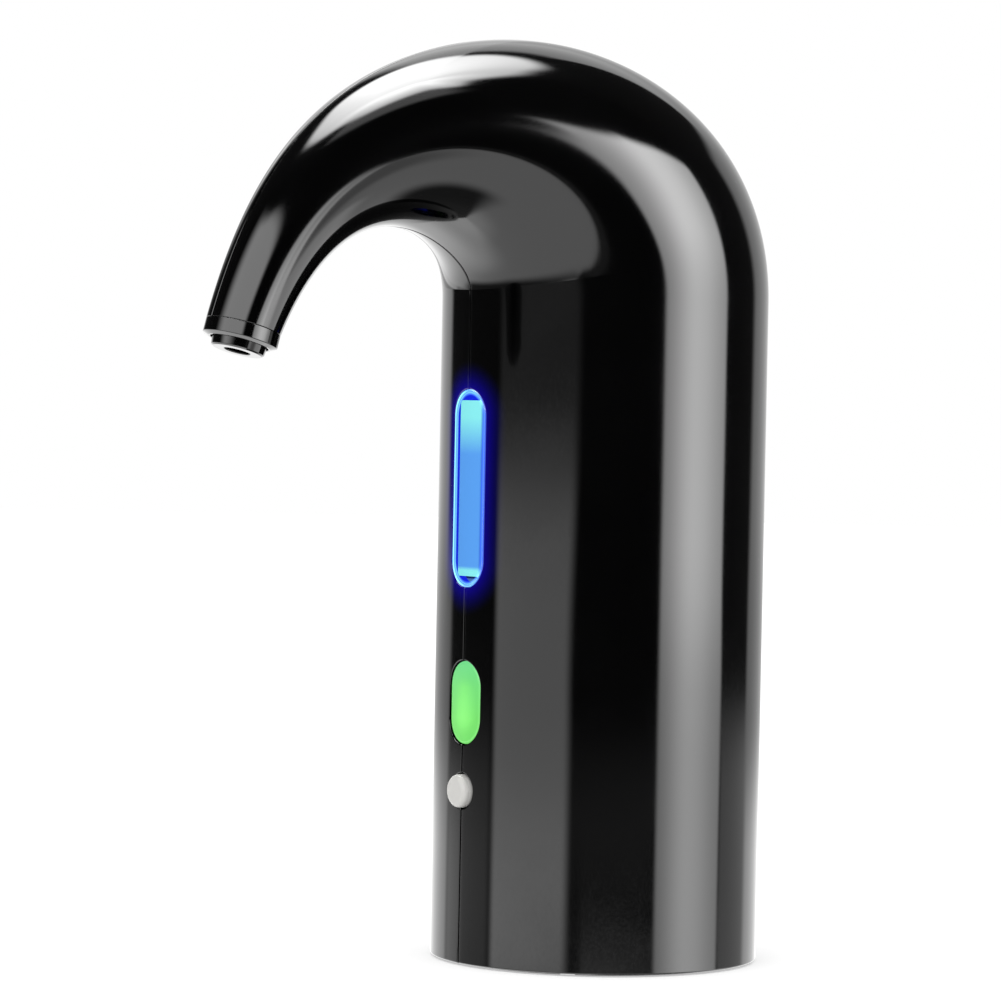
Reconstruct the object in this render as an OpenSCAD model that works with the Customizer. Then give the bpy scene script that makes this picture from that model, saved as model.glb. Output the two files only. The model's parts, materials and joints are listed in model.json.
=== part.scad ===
// Electric wine dispenser: a gooseneck pourer that stands on a bottle's neck.
// Sizes are in millimetres. The spout, window and buttons face -Y and Z is up.
// The origin is the centre of the bottle socket's mouth, on the table.

/* [Body] */
// Outside diameter of the round body
body_d = 62; // [60:0.5:68]
// Height of the straight part of the body
body_h = 125; // [122:0.5:130]
// Wall of the two half shells
wall = 2.2; // [1.8:0.1:2.4]
// Height of the base that keeps the shells off the table
foot_h = 0.4; // [0.2:0.1:1]
// Gap between the two half shells along the seam
seam = 0.2; // [0.1:0.05:0.4]
// Rounding of the shells' lower edge
edge_r = 0.8; // [0.4:0.1:1.2]

/* [Spout] */
// Distance from the body's axis to the middle of the nozzle's rim
spout_reach = 81.1; // [77:0.1:84]
// Height of the middle of the nozzle's rim
spout_z = 115.2; // [112:0.1:119]
// Tilt of the nozzle from straight down
spout_tilt = 15.5; // [10:0.5:18]
// Outside radius of the nozzle
nozzle_r = 6.9; // [6.7:0.05:7.4]
// Height of the nozzle's end ring
ring_h = 3; // [2.6:0.1:3.6]
// Rise of the outer curve where it leaves the body
outer_rise = 46.6; // [42:0.1:51]
// Crown of the outer curve, forward of the axis and above the straight body
outer_a = [19.1, 65.5]; // [-90:0.1:90]
// Shoulder of the outer curve, forward of the axis and above the straight body
outer_b = [51.2, 43.2]; // [-90:0.1:90]
// Straightness of the outer curve at the nozzle
outer_end = 48.8; // [45:0.1:53]
// Lean of the outer curve at the nozzle
outer_lean = 17.3; // [14:0.1:20]
// Rise of the inner curve where it leaves the body
inner_rise = 3.9; // [2:0.1:6]
// Throat of the inner curve, forward of the body's front and above the straight body
inner_a = [2, 5.3]; // [-40:0.1:40]
// Arch of the inner curve, forward of the body's front and above the straight body
inner_b = [2.9, 8.8]; // [-40:0.1:40]
// Straightness of the inner curve at the nozzle
inner_end = 40.7; // [36:0.1:44]
// Lean of the inner curve at the nozzle
inner_lean = 24; // [20:0.1:27]
// How far the outlet stands out of the nozzle's rim
outlet_out = 1.6; // [1:0.1:2.4]
// Diameter of the outlet's mouth
outlet_d = 4.8; // [3.6:0.1:5.6]

/* [Window] */
// Width of the window
window_w = 10.3; // [9:0.1:11.5]
// Height of the window
window_h = 37.1; // [34:0.1:38.5]
// Height of the window's middle
window_z = 89.2; // [88.5:0.1:90]
// Width of the lit sight tube
sight_w = 7.1; // [6.4:0.1:7.6]
// Height of the lit sight tube
sight_h = 32.8; // [31:0.1:34]

/* [Buttons] */
// Width of the dispense button's opening
dispense_w = 10; // [9:0.1:11]
// Height of the dispense button's opening
dispense_h = 15.8; // [14:0.1:17]
// Height of the dispense button's middle
dispense_z = 49.2; // [48.5:0.1:50]
// How far the dispense button's face lies below the shell
dispense_in = 0.2; // [0:0.05:0.5]
// Travel of the dispense button
dispense_travel = 0.6; // [0.4:0.05:0.8]
// Diameter of the mode button's opening
mode_d = 6.8; // [6:0.1:7.6]
// Height of the mode button's middle
mode_z = 32.7; // [32:0.1:33.5]
// How far the mode button stands out
mode_out = 1.8; // [1.2:0.1:2.4]
// Travel of the mode button
mode_travel = 0.6; // [0.4:0.05:0.8]

/* [Bottle] */
// Diameter of the socket that goes over the bottle's neck
socket_d = 32.6; // [32:0.1:33.4]
// Depth of the socket
socket_depth = 44; // [42:0.5:46]
// Diameter of the stopper that plugs the bottle's mouth
stopper_d = 18.5; // [17.5:0.1:19.5]
// Diameter of the barb that takes the dip tube
barb_d = 5; // [4.4:0.1:5.4]

/* [Pump] */
// Diameter of the motor
motor_d = 24.4; // [24:0.1:25]
// Length of the motor's can
motor_len = 28.5; // [27:0.5:32]
// Diameter of the motor's shaft
shaft_d = 2; // [1.8:0.1:2.3]
// Diameter of the pump's head
pump_d = 27; // [26.6:0.1:27.4]
// Distance of the pump's axis behind the body's axis
pump_y = 7.2; // [7:0.1:7.6]
// Offset of the pin that works the diaphragm
throw = 1.3; // [1:0.1:1.5]

/* [Power] */
// Width of the battery cell
cell_w = 20; // [18:0.5:20.5]
// Thickness of the battery cell
cell_t = 7.2; // [6.4:0.1:7.4]
// Height of the battery cell
cell_h = 38; // [34:0.5:40]
// Width of the charging socket
usb_w = 8.9; // [8.6:0.1:9.2]
// Height of the charging socket
usb_h = 3.3; // [3.1:0.1:3.5]

/* [Hoses] */
// Outside diameter of the hoses
hose_d = 5.6; // [5.2:0.1:6]
// Bore of the hoses
hose_bore = 4.1; // [4:0.05:4.3]
// Outside diameter of the leads
lead_d = 1.2; // [1:0.1:1.4]

/* [Clearances] */
// Gap around the lens in its opening
lens_gap = 0.12; // [0.05:0.01:0.3]
// Gap around the buttons in their openings
button_gap = 0.15; // [0.1:0.01:0.3]
// Gap between parts that are glued or screwed face to face
seat_gap = 0.05; // [0.02:0.01:0.1]
// Gap between parts that only stand side by side
free_gap = 0.3; // [0.2:0.05:0.5]
// Radial gap of the shaft in its bushes
run_gap = 0.03; // [0.01:0.01:0.08]

/* [Hidden] */
$fn = 48;

R = body_d / 2;
Ri = R - wall;
n_rows = 30;
n_cols = 30;
tip_wall = 1.9;
lip_h = 0.45;
lip_w = 1.1;

// The nozzle's frame in the mid-plane, as forward and up
tip_e = [cos(spout_tilt), sin(spout_tilt)];
tip_u = [-sin(spout_tilt), cos(spout_tilt)];
tip_c = [spout_reach, spout_z];
neck_c = tip_c + ring_h * tip_u;
OUT = [
  [-R, body_h],
  [-R, body_h + outer_rise],
  [outer_a[0], body_h + outer_a[1]],
  [outer_b[0], body_h + outer_b[1]],
  neck_c + nozzle_r * tip_e + outer_end * [-sin(outer_lean), cos(outer_lean)],
  neck_c + nozzle_r * tip_e
];
INN = [
  [R, body_h],
  [R, body_h + inner_rise],
  [R + inner_a[0], body_h + inner_a[1]],
  [R + inner_b[0], body_h + inner_b[1]],
  neck_c - nozzle_r * tip_e + inner_end * [-sin(inner_lean), cos(inner_lean)],
  neck_c - nozzle_r * tip_e
];

// Base and bottle socket
base_t = 2.4;
base_r = Ri - free_gap;
socket_r = socket_d / 2;
tube_r = socket_r + 2;
top_t = 4.4;
top_z = socket_depth + top_t;
boss_r = 2.9;
boss_p = Ri - 2.4;
boss_a = [45, 135, 225, 315];
lug_p = tube_r + 2.2;
lug_r = 3.2;
lug_a = [25, 155, -20, 200];

// Stopper and fitting
stem_r = 5.4;
stem_z = 20;
barb_z = 10;
land_z = 30;
flange_z = socket_depth - 2.5;
block_t = 5;
wine_y = -10;
nipple_r = hose_bore / 2 - 0.15;
ear_x = 10.5;
ear_t = 2.4;

// Control board and buttons
board_y = -tube_r - 1.5;
board_t = 1.6;
board_f = board_y - board_t;
board_w = 20;
board_z0 = 26;
board_z1 = 58;
board_hx = 7.5;
board_hz = [29.5, 43];
switch_t = 3.4;
switch_f = board_f - switch_t;
cap_r = R - dispense_in;
cap_w = dispense_w - 2 * button_gap;
cap_h = dispense_h - 2 * button_gap;
flange_r = Ri - 0.35;
button_back = Ri - 1.4;
plunger_r = 1.7;
plunger_f = -(button_back - 1.3);

// Chassis, window parts and charging board
floor_t = 2.4;
floor_z = top_z + seat_gap;
deck_z = floor_z + floor_t;
rail_x = 7.5;
rail_f = -18;
led_t = 1.2;
led_f = rail_f - seat_gap - led_t;
led_z0 = 80;
led_z1 = 109;
lens_r = Ri - 1.2;
lens_t = 0.9;
lens_wall = 0.5;
lens_w = window_w - 2 * lens_gap;
lens_h = window_h - 2 * lens_gap;
well_w = lens_w - 2 * lens_wall;
well_h = lens_h - 2 * lens_wall;
nose_gap = 0.2;
sight_r = R - lens_t - nose_gap;
sight_b = led_f - 1.2 - free_gap;
sight_y = (sight_b - lens_r + 0.4) / 2 - 0.3;
port_z = 75.5;
charge_z = deck_z + 1.4;
charge_t = 1.2;
charge_top = charge_z + charge_t;
usb_z = charge_top + seat_gap + usb_h / 2;

// Pump stack, from the nipple at the bottom to the motor at the top
pump_r = pump_d / 2;
cover_z = 66;
plate_z = 70.5;
skin_z = 73.5;
cyl_z = 74.5;
house_z = 79.5;
motor_z = 90;
motor_r = motor_d / 2;
can_z1 = motor_z + motor_len;
screw_p = pump_r - 1.5;
cup_p = 5.6;
shaft_r = shaft_d / 2;
ring_z0 = 96;
ring_z1 = 108;
hold_r = motor_r + 2.2;

// Plain colours of the pieces
c_black = [0.05, 0.05, 0.06];
c_grey = [0.78, 0.78, 0.76];
c_green = [0.45, 0.9, 0.4];
c_blue = [0.35, 0.6, 1.0];
c_clear = [0.7, 0.85, 1.0];
c_steel = [0.75, 0.76, 0.78];
c_board = [0.08, 0.35, 0.2];
c_rubber = [0.25, 0.25, 0.27];
c_white = [0.92, 0.92, 0.9];
c_copper = [0.75, 0.42, 0.2];
c_hose = [0.88, 0.88, 0.85];

// Point of a curve with six handles
function bez(p, t) =
  let (u = 1 - t)
  pow(u, 5) * p[0] + 5 * t * pow(u, 4) * p[1] + 10 * pow(t, 2) * pow(u, 3) * p[2]
  + 10 * pow(t, 3) * pow(u, 2) * p[3] + 5 * pow(t, 4) * u * p[4] + pow(t, 5) * p[5];
function unit(v) = v / norm(v);
function polar(r, a) = [r * cos(a), r * sin(a), 0];
// A place in the mid-plane, from forward and up
function mid(p) = [0, -p[0], p[1]];

// Rows of the housing: outer point, inner point, inset of the outer skin, wall
rows = concat(
  [
    [[-R, foot_h], [R, foot_h], edge_r, wall],
    [[-R, foot_h + 0.3 * edge_r], [R, foot_h + 0.3 * edge_r], 0.3 * edge_r, wall],
    [[-R, foot_h + edge_r], [R, foot_h + edge_r], 0, wall]
  ],
  [
    for (i = [0:n_rows])
      let (t = i / n_rows)
      [bez(OUT, t), bez(INN, t), 0, wall + (tip_wall - wall) * t]
  ]
);

// Point of a row's ring on side s, at radius r from the row's middle
function ring_pt(row, r, th, s) =
  let (c = (row[0] + row[1]) / 2, e = unit(row[0] - row[1]))
  [
    s * max(seam / 2, r * sin(th)),
    -(c[0] + r * cos(th) * e[0]),
    c[1] + r * cos(th) * e[1]
  ];
function row_r(row) = norm(row[0] - row[1]) / 2;
function turn(f, s) = s > 0 ? f : [for (i = [len(f) - 1:-1:0]) f[i]];

// Half of the housing's skin: s = 1 is the +X half
module shell_skin(s) {
  m = n_cols + 1;
  n = len(rows);
  pts = concat(
    [for (w = rows) for (j = [0:n_cols]) ring_pt(w, row_r(w) - w[2], 180 * j / n_cols, s)],
    [for (w = rows) for (j = [0:n_cols]) ring_pt(w, row_r(w) - w[3], 180 * j / n_cols, s)]
  );
  k = n * m;
  skin = [
    for (i = [0:n - 2]) for (j = [0:n_cols - 1])
      let (a = i * m + j, b = a + 1, d = a + m, c = d + 1)
      each [[a, b, c], [a, c, d], [k + a, k + c, k + b], [k + a, k + d, k + c]]
  ];
  low = [for (j = [0:n_cols - 1]) [j, k + j, k + j + 1, j + 1]];
  q = (n - 1) * m;
  high = [for (j = [0:n_cols - 1]) [q + j, q + j + 1, k + q + j + 1, k + q + j]];
  back = [for (i = [0:n - 2]) let (a = i * m) [a, a + m, k + a + m, k + a]];
  front = [for (i = [0:n - 2]) let (a = i * m + n_cols) [k + a, k + a + m, a + m, a]];
  polyhedron(pts, [for (f = concat(skin, low, high, back, front)) turn(f, s)], convexity = 8);
}

// Smooth path through points, with k steps between each two
function spline(p, k) =
  concat(
    [
      for (i = [0:len(p) - 2]) for (j = [0:k - 1])
        let (
          a = p[max(i - 1, 0)], b = p[i], c = p[i + 1], d = p[min(i + 2, len(p) - 1)],
          t = j / k
        )
        0.5 * (2 * b + (c - a) * t + (2 * a - 5 * b + 4 * c - d) * t * t
          + (3 * b - a - 3 * c + d) * t * t * t)
    ],
    [p[len(p) - 1]]
  );
function tangents(p) =
  [for (i = [0:len(p) - 1]) unit(p[min(i + 1, len(p) - 1)] - p[max(i - 1, 0)])];
function carry(v, n, i) =
  i >= len(v) ? [] : let (w = unit(n - (n * v[i]) * v[i])) concat([w], carry(v, w, i + 1));
function tube_pts(p, r, n0, k) =
  let (v = tangents(p), w = carry(v, n0, 0))
  [
    for (i = [0:len(p) - 1]) for (j = [0:k - 1])
      p[i] + r * (cos(360 * j / k) * w[i] + sin(360 * j / k) * cross(v[i], w[i]))
  ];
function tube_sides(n, k, o, out) =
  [
    for (i = [0:n - 2]) for (j = [0:k - 1])
      let (a = o + i * k + j, b = o + i * k + (j + 1) % k, d = a + k, c = b + k)
      each out ? [[a, d, c], [a, c, b]] : [[a, b, c], [a, c, d]]
  ];

// Round lead along a path
module lead(p, r, n0, k = 8) {
  n = len(p);
  ends = [[for (j = [0:k - 1]) j], [for (j = [k - 1:-1:0]) (n - 1) * k + j]];
  polyhedron(tube_pts(p, r, n0, k), concat(tube_sides(n, k, 0, true), ends), convexity = 6);
}

// Hose with a bore along a path
module hose(p, r, ri, n0, k = 18) {
  n = len(p);
  o = n * k;
  q = (n - 1) * k;
  near = [for (j = [0:k - 1]) let (b = (j + 1) % k) [j, b, o + b, o + j]];
  far = [for (j = [0:k - 1]) let (b = (j + 1) % k) [q + j, o + q + j, o + q + b, q + b]];
  polyhedron(
    concat(tube_pts(p, r, n0, k), tube_pts(p, ri, n0, k)),
    concat(tube_sides(n, k, 0, true), tube_sides(n, k, o, false), near, far),
    convexity = 8
  );
}

// Upright slot shape
module stadium(w, h) {
  square([w, h - w], center = true);
  translate([0, (h - w) / 2]) circle(d = w);
  translate([0, -(h - w) / 2]) circle(d = w);
}

// Prism along Y from y0 to y1
module prism_y(y0, y1, z) {
  translate([0, y1, z]) rotate([90, 0, 0]) linear_extrude(y1 - y0) children();
}

// Rod along Y from y0 to y1
module rod_y(r, y0, y1, x, z) {
  translate([x, y1, z]) rotate([90, 0, 0]) cylinder(r = r, h = y1 - y0);
}

// Tube from z0 to z1
module pipe(r, ri, z0, z1) {
  difference() {
    translate([0, 0, z0]) cylinder(r = r, h = z1 - z0);
    translate([0, 0, z0 - 1]) cylinder(r = ri, h = z1 - z0 + 2);
  }
}

// Wall of a round part, cut to a slot shape at the front
module curved_slot(w, h, z, r, ri) {
  intersection() {
    prism_y(-R - 4, -Ri / 2, z) stadium(w, h);
    pipe(r, ri, z - h, z + h);
  }
}

// Cross-head screw: head above z = 0, shank below
module screw(r, len, hr, hh) {
  difference() {
    union() {
      cylinder(r = hr, h = hh);
      translate([0, 0, -len]) cylinder(r = r, h = len + hh / 2);
    }
    for (a = [0, 90]) rotate([0, 0, a]) box(-hr * 0.65, hr * 0.65, -0.25, 0.25, hh - 0.5, hh + 1);
  }
}

// Box by its ranges
module box(x0, x1, y0, y1, z0, z1) {
  translate([x0, y0, z0]) cube([x1 - x0, y1 - y0, z1 - z0]);
}

// Place of a peg boss near the crown of the spout
peg_t = 0.36;
peg_o = bez(OUT, peg_t);
peg_i = bez(INN, peg_t);
peg_crown = peg_o + (peg_i - peg_o) / norm(peg_i - peg_o) * 7.6;
peg_back = 24;
pegs = [
  [[-peg_back, 70], 2.4, sqrt(pow(R - 0.5, 2) - pow(peg_back + 2.4, 2))],
  [[-peg_back, 118], 2.4, sqrt(pow(R - 0.5, 2) - pow(peg_back + 2.4, 2))],
  [peg_crown, 2, 13.4]
];
peg_r = 1.2;
peg_len = 4;

// Places a piece at a peg, with +Z going into half s
module at_peg(p, s) {
  translate(mid(p[0])) rotate([0, s * 90, 0]) children();
}

// One half of the housing, with its screw posts and pegs
module shell_half(s) {
  difference() {
    union() {
      shell_skin(s);
      for (a = s > 0 ? [45, -45] : [135, 225]) {
        translate(polar(boss_p, a)) translate([0, 0, base_t + seat_gap]) cylinder(r = boss_r, h = 13);
      }
      for (p = pegs) {
        at_peg(p, s) translate([0, 0, seam / 2]) cylinder(r = p[1], h = p[2]);
      }
    }
    for (a = s > 0 ? [45, -45] : [135, 225]) {
      translate(polar(boss_p, a)) translate([0, 0, base_t - 1]) cylinder(r = 1.25, h = 12);
    }
    for (p = pegs) {
      at_peg(p, s) translate([0, 0, -1]) cylinder(r = peg_r + seat_gap, h = peg_len + 1.6);
    }
    prism_y(-R - 2, -R + 6, window_z) stadium(window_w, window_h);
    prism_y(-R - 2, -R + 6, dispense_z) stadium(dispense_w, dispense_h);
    rod_y(mode_d / 2, -R - 2, -R + 6, 0, mode_z);
    translate([0, R - 6, usb_z]) rotate([-90, 90, 0]) linear_extrude(8) stadium(usb_h + 0.7, usb_w + 0.7);
  }
}

module shell_right() {
  color(c_black) shell_half(1);
}

module shell_left() {
  color(c_black) union() {
    shell_half(-1);
    for (p = pegs) {
      at_peg(p, 1) translate([0, 0, -peg_len - 1.6]) cylinder(r = peg_r, h = 2 * peg_len + 1.6);
    }
  }
}

// Base with the socket for the bottle's neck and the posts that carry the boards
module base_cover() {
  color(c_black) difference() {
    union() {
      translate([0, 0, 0]) cylinder(r = base_r, h = base_t);
      cylinder(r = tube_r, h = top_z);
      for (a = lug_a) translate(polar(lug_p, a)) translate([0, 0, top_z - 11]) cylinder(r = lug_r, h = 11);
      for (x = [-board_hx, board_hx]) for (z = board_hz) rod_y(2.1, board_y, -socket_r + 3, x, z);
      box(-8, 8, socket_r - 4, tube_r + 0.3, 6, cell_h);
    }
    translate([0, 0, -1]) cylinder(r = socket_r, h = socket_depth + 1);
    translate([0, 0, -0.01]) cylinder(r1 = socket_r + 1, r2 = socket_r, h = 1.2);
    translate([0, 0, socket_depth - 1]) cylinder(r = stem_r + 0.1, h = top_t + 2);
    for (a = boss_a) translate(polar(boss_p, a)) {
      translate([0, 0, -1]) cylinder(r = 1.4, h = base_t + 2);
      translate([0, 0, -1]) cylinder(r = 2.5, h = 2.5);
    }
    for (a = lug_a) translate(polar(lug_p, a)) translate([0, 0, top_z - 8]) cylinder(r = 1.05, h = 9);
    for (x = [-board_hx, board_hx]) for (z = board_hz) rod_y(0.85, board_y - 1, board_y + 3.4, x, z);
    for (x = [-ear_x, ear_x]) translate([x, 0, top_z - 3.4]) cylinder(r = 0.85, h = 4);
  }
}

module base_screws() {
  color(c_steel) for (a = boss_a) {
    translate(polar(boss_p, a)) translate([0, 0, 1.5]) rotate([180, 0, 0]) screw(1.2, 9, 2.3, 1.3);
  }
}

// Places a piece in the nozzle's frame: z = 0 is the rim, +Z goes up the spout
module at_nozzle() {
  translate(mid(tip_c)) rotate([-spout_tilt, 0, 0]) children();
}

module nozzle_ring() {
  color(c_black) at_nozzle() difference() {
    union() {
      translate([0, 0, lip_h]) cylinder(r = nozzle_r, h = ring_h - lip_h - seat_gap);
      cylinder(r1 = nozzle_r - lip_w, r2 = nozzle_r, h = lip_h);
      cylinder(r = nozzle_r - tip_wall - 0.4, h = ring_h + 1.8);
    }
    translate([0, 0, -1]) cylinder(r = nozzle_r - 1.5, h = ring_h + 0.2);
    translate([0, 0, -1]) cylinder(r = nozzle_r - 3, h = ring_h + 7);
  }
}

module outlet_tip() {
  color(c_black) at_nozzle() difference() {
    union() {
      translate([0, 0, -outlet_out + 0.4]) cylinder(r = nozzle_r - 1.8, h = outlet_out + 0.8);
      translate([0, 0, -outlet_out]) cylinder(r1 = nozzle_r - 2.2, r2 = nozzle_r - 1.8, h = 0.4);
      translate([0, 0, 1]) cylinder(r = nozzle_r - 1.55, h = ring_h - 1.85);
      cylinder(r = nozzle_r - 3.05, h = ring_h + 1.4);
      cylinder(r = nipple_r, h = ring_h + 7);
    }
    translate([0, 0, -outlet_out - 1]) cylinder(r = 1.2, h = 20);
    translate([0, 0, -outlet_out - 1]) cylinder(r = outlet_d / 2, h = outlet_out + 2.4);
  }
}

// Clear cap with a flange behind the shells, hollow at the back
module window_lens() {
  color(c_clear) difference() {
    union() {
      curved_slot(lens_w, lens_h, window_z, R, lens_r + 0.5);
      curved_slot(window_w + 3, window_h + 3, window_z, Ri - 0.1, lens_r);
    }
    curved_slot(well_w, well_h, window_z, R - lens_t, lens_r - 1);
  }
}

// Block of the sight tube, rounded at the front to a radius about the body's axis
module sight_block(r) {
  intersection() {
    box(-sight_w / 2, sight_w / 2, -R, sight_b, window_z - sight_h / 2, window_z + sight_h / 2);
    translate([0, 0, window_z - sight_h]) cylinder(r = r, h = 2 * sight_h);
  }
}

// Part of the sight tube inside the lens, between two radii
module sight_nose(r, ri) {
  curved_slot(well_w - 2 * nose_gap, well_h - 2 * nose_gap, window_z, r, ri);
}

// Clear block that the wine rises through, lit from behind, with a shoulder that fills the window
module sight_tube() {
  color(c_clear) difference() {
    union() {
      sight_block(lens_r - free_gap);
      intersection() {
        sight_block(sight_r);
        sight_nose(R, lens_r - 1);
      }
      translate([0, sight_y, window_z]) cylinder(r = nipple_r, h = sight_h / 2 + 5.4);
      rod_y(nipple_r, sight_b - 1, sight_b + 2.7, 0, port_z);
      sight_nose(lens_r + 1, lens_r - 0.2);
    }
    translate([0, sight_y, port_z]) cylinder(r = 1.2, h = sight_h + 12);
    rod_y(1.2, sight_y, sight_b + 6, 0, port_z);
  }
}

module led_board() {
  color(c_white) difference() {
    box(-9.5, 9.5, led_f, led_f + led_t, led_z0, led_z1);
    for (x = [-rail_x, rail_x]) for (z = [led_z0 + 3, led_z1 - 3]) rod_y(0.95, led_f - 1, led_f + 3, x, z);
  }
}

module blue_leds() {
  color(c_blue) for (i = [-1, 0, 1]) {
    box(-1.6, 1.6, led_f - 1.2, led_f - seat_gap, 93.5 + 8.5 * i - 1.4, 93.5 + 8.5 * i + 1.4);
  }
}

module led_screws() {
  color(c_steel) for (x = [-rail_x, rail_x]) for (z = [led_z0 + 3, led_z1 - 3]) {
    translate([x, led_f, z]) rotate([90, 0, 0]) screw(0.8, 4, 1.6, 1.1);
  }
}

module control_board() {
  color(c_board) difference() {
    box(-board_w / 2, board_w / 2, board_f, board_y - seat_gap, board_z0, board_z1);
    for (x = [-board_hx, board_hx]) for (z = board_hz) rod_y(1, board_f - 1, board_y + 1, x, z);
  }
}

module control_screws() {
  color(c_steel) for (x = [-board_hx, board_hx]) for (z = board_hz) {
    translate([x, board_f, z]) rotate([90, 0, 0]) screw(0.8, 4.6, 1.7, 1.2);
  }
}

module control_chip() {
  color([0.12, 0.12, 0.13]) box(-3, 3, board_f - 1.2, board_f - seat_gap, 37.2, 42.6);
}

// Square push switch on the control board, with a well for its plunger
module push_switch(z) {
  difference() {
    box(-3, 3, switch_f, board_f - seat_gap, z - 3, z + 3);
    rod_y(plunger_r + 0.12, switch_f - 1, switch_f + 2.6, 0, z);
  }
}

module dispense_button() {
  color(c_green) union() {
    curved_slot(cap_w, cap_h, dispense_z, cap_r, button_back + 0.5);
    curved_slot(dispense_w + 2.4, dispense_h + 2.4, dispense_z, flange_r, button_back);
    rod_y(2, -button_back - 0.6, plunger_f - seat_gap, 0, dispense_z);
  }
}

module dispense_switch() {
  color([0.15, 0.15, 0.16]) push_switch(dispense_z);
}

module dispense_plunger() {
  color(c_white) rod_y(plunger_r, plunger_f, switch_f + 1.6, 0, dispense_z);
}

module green_leds() {
  color([0.7, 1, 0.7]) for (z = [dispense_z - 4.4, dispense_z + 4.4]) {
    box(-1, 1, board_f - 0.8, board_f - seat_gap, z - 0.6, z + 0.6);
  }
}

// Round button turned about Y: face, chamfer, collar behind the shell and stem
module mode_button() {
  r = mode_d / 2 - button_gap;
  f = R + mode_out;
  b = Ri - 1.9;
  s = -plunger_f + seat_gap;
  color(c_grey) translate([0, 0, mode_z]) rotate([90, 0, 0]) rotate_extrude() polygon([
    [0, s], [2, s], [2, b], [r + 1.2, b], [r + 1.2, b + 1], [r, b + 1],
    [r, f - 0.7], [r - 0.2, f - 0.3], [r - 0.7, f], [0, f]
  ]);
}

module mode_switch() {
  color([0.15, 0.15, 0.16]) push_switch(mode_z);
}

module mode_plunger() {
  color(c_white) rod_y(plunger_r, plunger_f, switch_f + 1.6, 0, mode_z);
}

// Soft stopper: seal under the socket's roof and a ringed plug for the bottle's mouth
module bottle_stopper() {
  r = stopper_d / 2;
  i = stem_r + seat_gap;
  z = socket_depth - seat_gap;
  color(c_rubber) rotate_extrude() polygon([
    [i, stem_z + 1], [r - 1.4, stem_z + 1], [r, stem_z + 5], [r, stem_z + 7.4], [r - 0.8, stem_z + 8.2],
    [r - 0.8, stem_z + 9.2], [r, land_z], [r, flange_z], [socket_r - 0.7, flange_z],
    [socket_r - 0.7, z], [i, z]
  ]);
}

// Stem with the wine and air ways, the dip tube's barb and the two hose nipples
module bottle_fitting() {
  z0 = top_z + seat_gap;
  way = z0 + 2.6;
  color(c_white) difference() {
    union() {
      translate([0, 0, stem_z]) cylinder(r = stem_r, h = z0 - stem_z + 1);
      translate([0, 0, barb_z + 0.6]) cylinder(r = barb_d / 2, h = stem_z - barb_z);
      translate([0, 0, barb_z]) cylinder(r1 = barb_d / 2 - 0.6, r2 = barb_d / 2, h = 0.6);
      translate([0, 0, z0]) cylinder(r = 8, h = block_t);
      box(-3.4, 3.4, wine_y, 0, z0, z0 + block_t);
      translate([0, wine_y, z0]) cylinder(r = 3.4, h = block_t);
      box(-3, 3, 0, pump_y, z0, z0 + block_t);
      translate([0, pump_y, z0]) cylinder(r = 3, h = block_t);
      box(-ear_x, ear_x, -2.6, 2.6, z0, z0 + ear_t);
      for (x = [-ear_x, ear_x]) translate([x, 0, z0]) cylinder(r = 2.6, h = ear_t);
      translate([0, wine_y, z0 + 1]) cylinder(r = nipple_r, h = block_t + 4);
      translate([0, pump_y, z0 + 1]) cylinder(r = nipple_r, h = block_t + 3);
    }
    translate([0, 0, barb_z - 1]) cylinder(r = 1.5, h = way - barb_z + 1.8);
    rod_y(1.2, wine_y, 0, 0, way);
    translate([0, wine_y, way]) cylinder(r = 1.2, h = block_t + 9);
    translate([0, 4.1, stem_z - 1]) cylinder(r = 0.8, h = way - stem_z + 1.5);
    rod_y(0.7, 4.1, pump_y, 0, way);
    translate([0, pump_y, way]) cylinder(r = 1, h = block_t + 9);
    for (x = [-ear_x, ear_x]) translate([x, 0, z0 - 1]) cylinder(r = 1, h = ear_t + 2);
  }
}

module fitting_screws() {
  color(c_steel) for (x = [-ear_x, ear_x]) {
    translate([x, 0, top_z + seat_gap + ear_t]) screw(0.8, 5, 1.7, 1.2);
  }
}

// Inner frame: deck, side walls, ring for the motor and rails for the light board
module chassis() {
  color(c_grey) difference() {
    union() {
      translate([0, 0, floor_z]) cylinder(r = Ri - 0.5, h = floor_t);
      for (s = [-1, 1]) box(s > 0 ? 14.3 : -16.2, s > 0 ? 16.2 : -14.3, -8, 14, floor_z + 1, ring_z1);
      translate([0, pump_y, ring_z0]) cylinder(r = hold_r + 2.2, h = ring_z1 - ring_z0);
      for (s = [-1, 1]) box(s * rail_x - 1.5, s * rail_x + 1.5, rail_f, rail_f + 3, floor_z + 1, ring_z1 + 1);
      box(-9, 9, rail_f, -9, ring_z1 - 2.6, ring_z1);
      for (x = [-6.5, 6.5]) translate([x, 18.5, floor_z]) cylinder(r = 2.3, h = charge_z - floor_z);
    }
    translate([0, pump_y, ring_z0 - 1.5]) cylinder(r = hold_r, h = ring_z1 - ring_z0 + 3);
    translate([0, -0.6, floor_z - 1]) cylinder(r = 14.2, h = floor_t + 2);
    box(-11, 11, -R, board_y + 1.1, floor_z - 1, deck_z + 1);
    box(-4, 4, 21.2, 24.6, floor_z - 1, deck_z + 1);
    for (a = lug_a) translate(polar(lug_p, a)) {
      translate([0, 0, floor_z - 1]) cylinder(r = 1.35, h = floor_t + 2);
    }
    for (x = [-6.5, 6.5]) translate([x, 18.5, floor_z + 0.4]) cylinder(r = 0.85, h = 8);
    for (x = [-rail_x, rail_x]) for (z = [led_z0 + 3, led_z1 - 3]) rod_y(0.85, rail_f - 1, rail_f + 4, x, z);
  }
}

module chassis_screws() {
  color(c_steel) for (a = lug_a) {
    translate(polar(lug_p, a)) translate([0, 0, deck_z]) screw(1, 8.4, 2.1, 1.4);
  }
}

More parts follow.
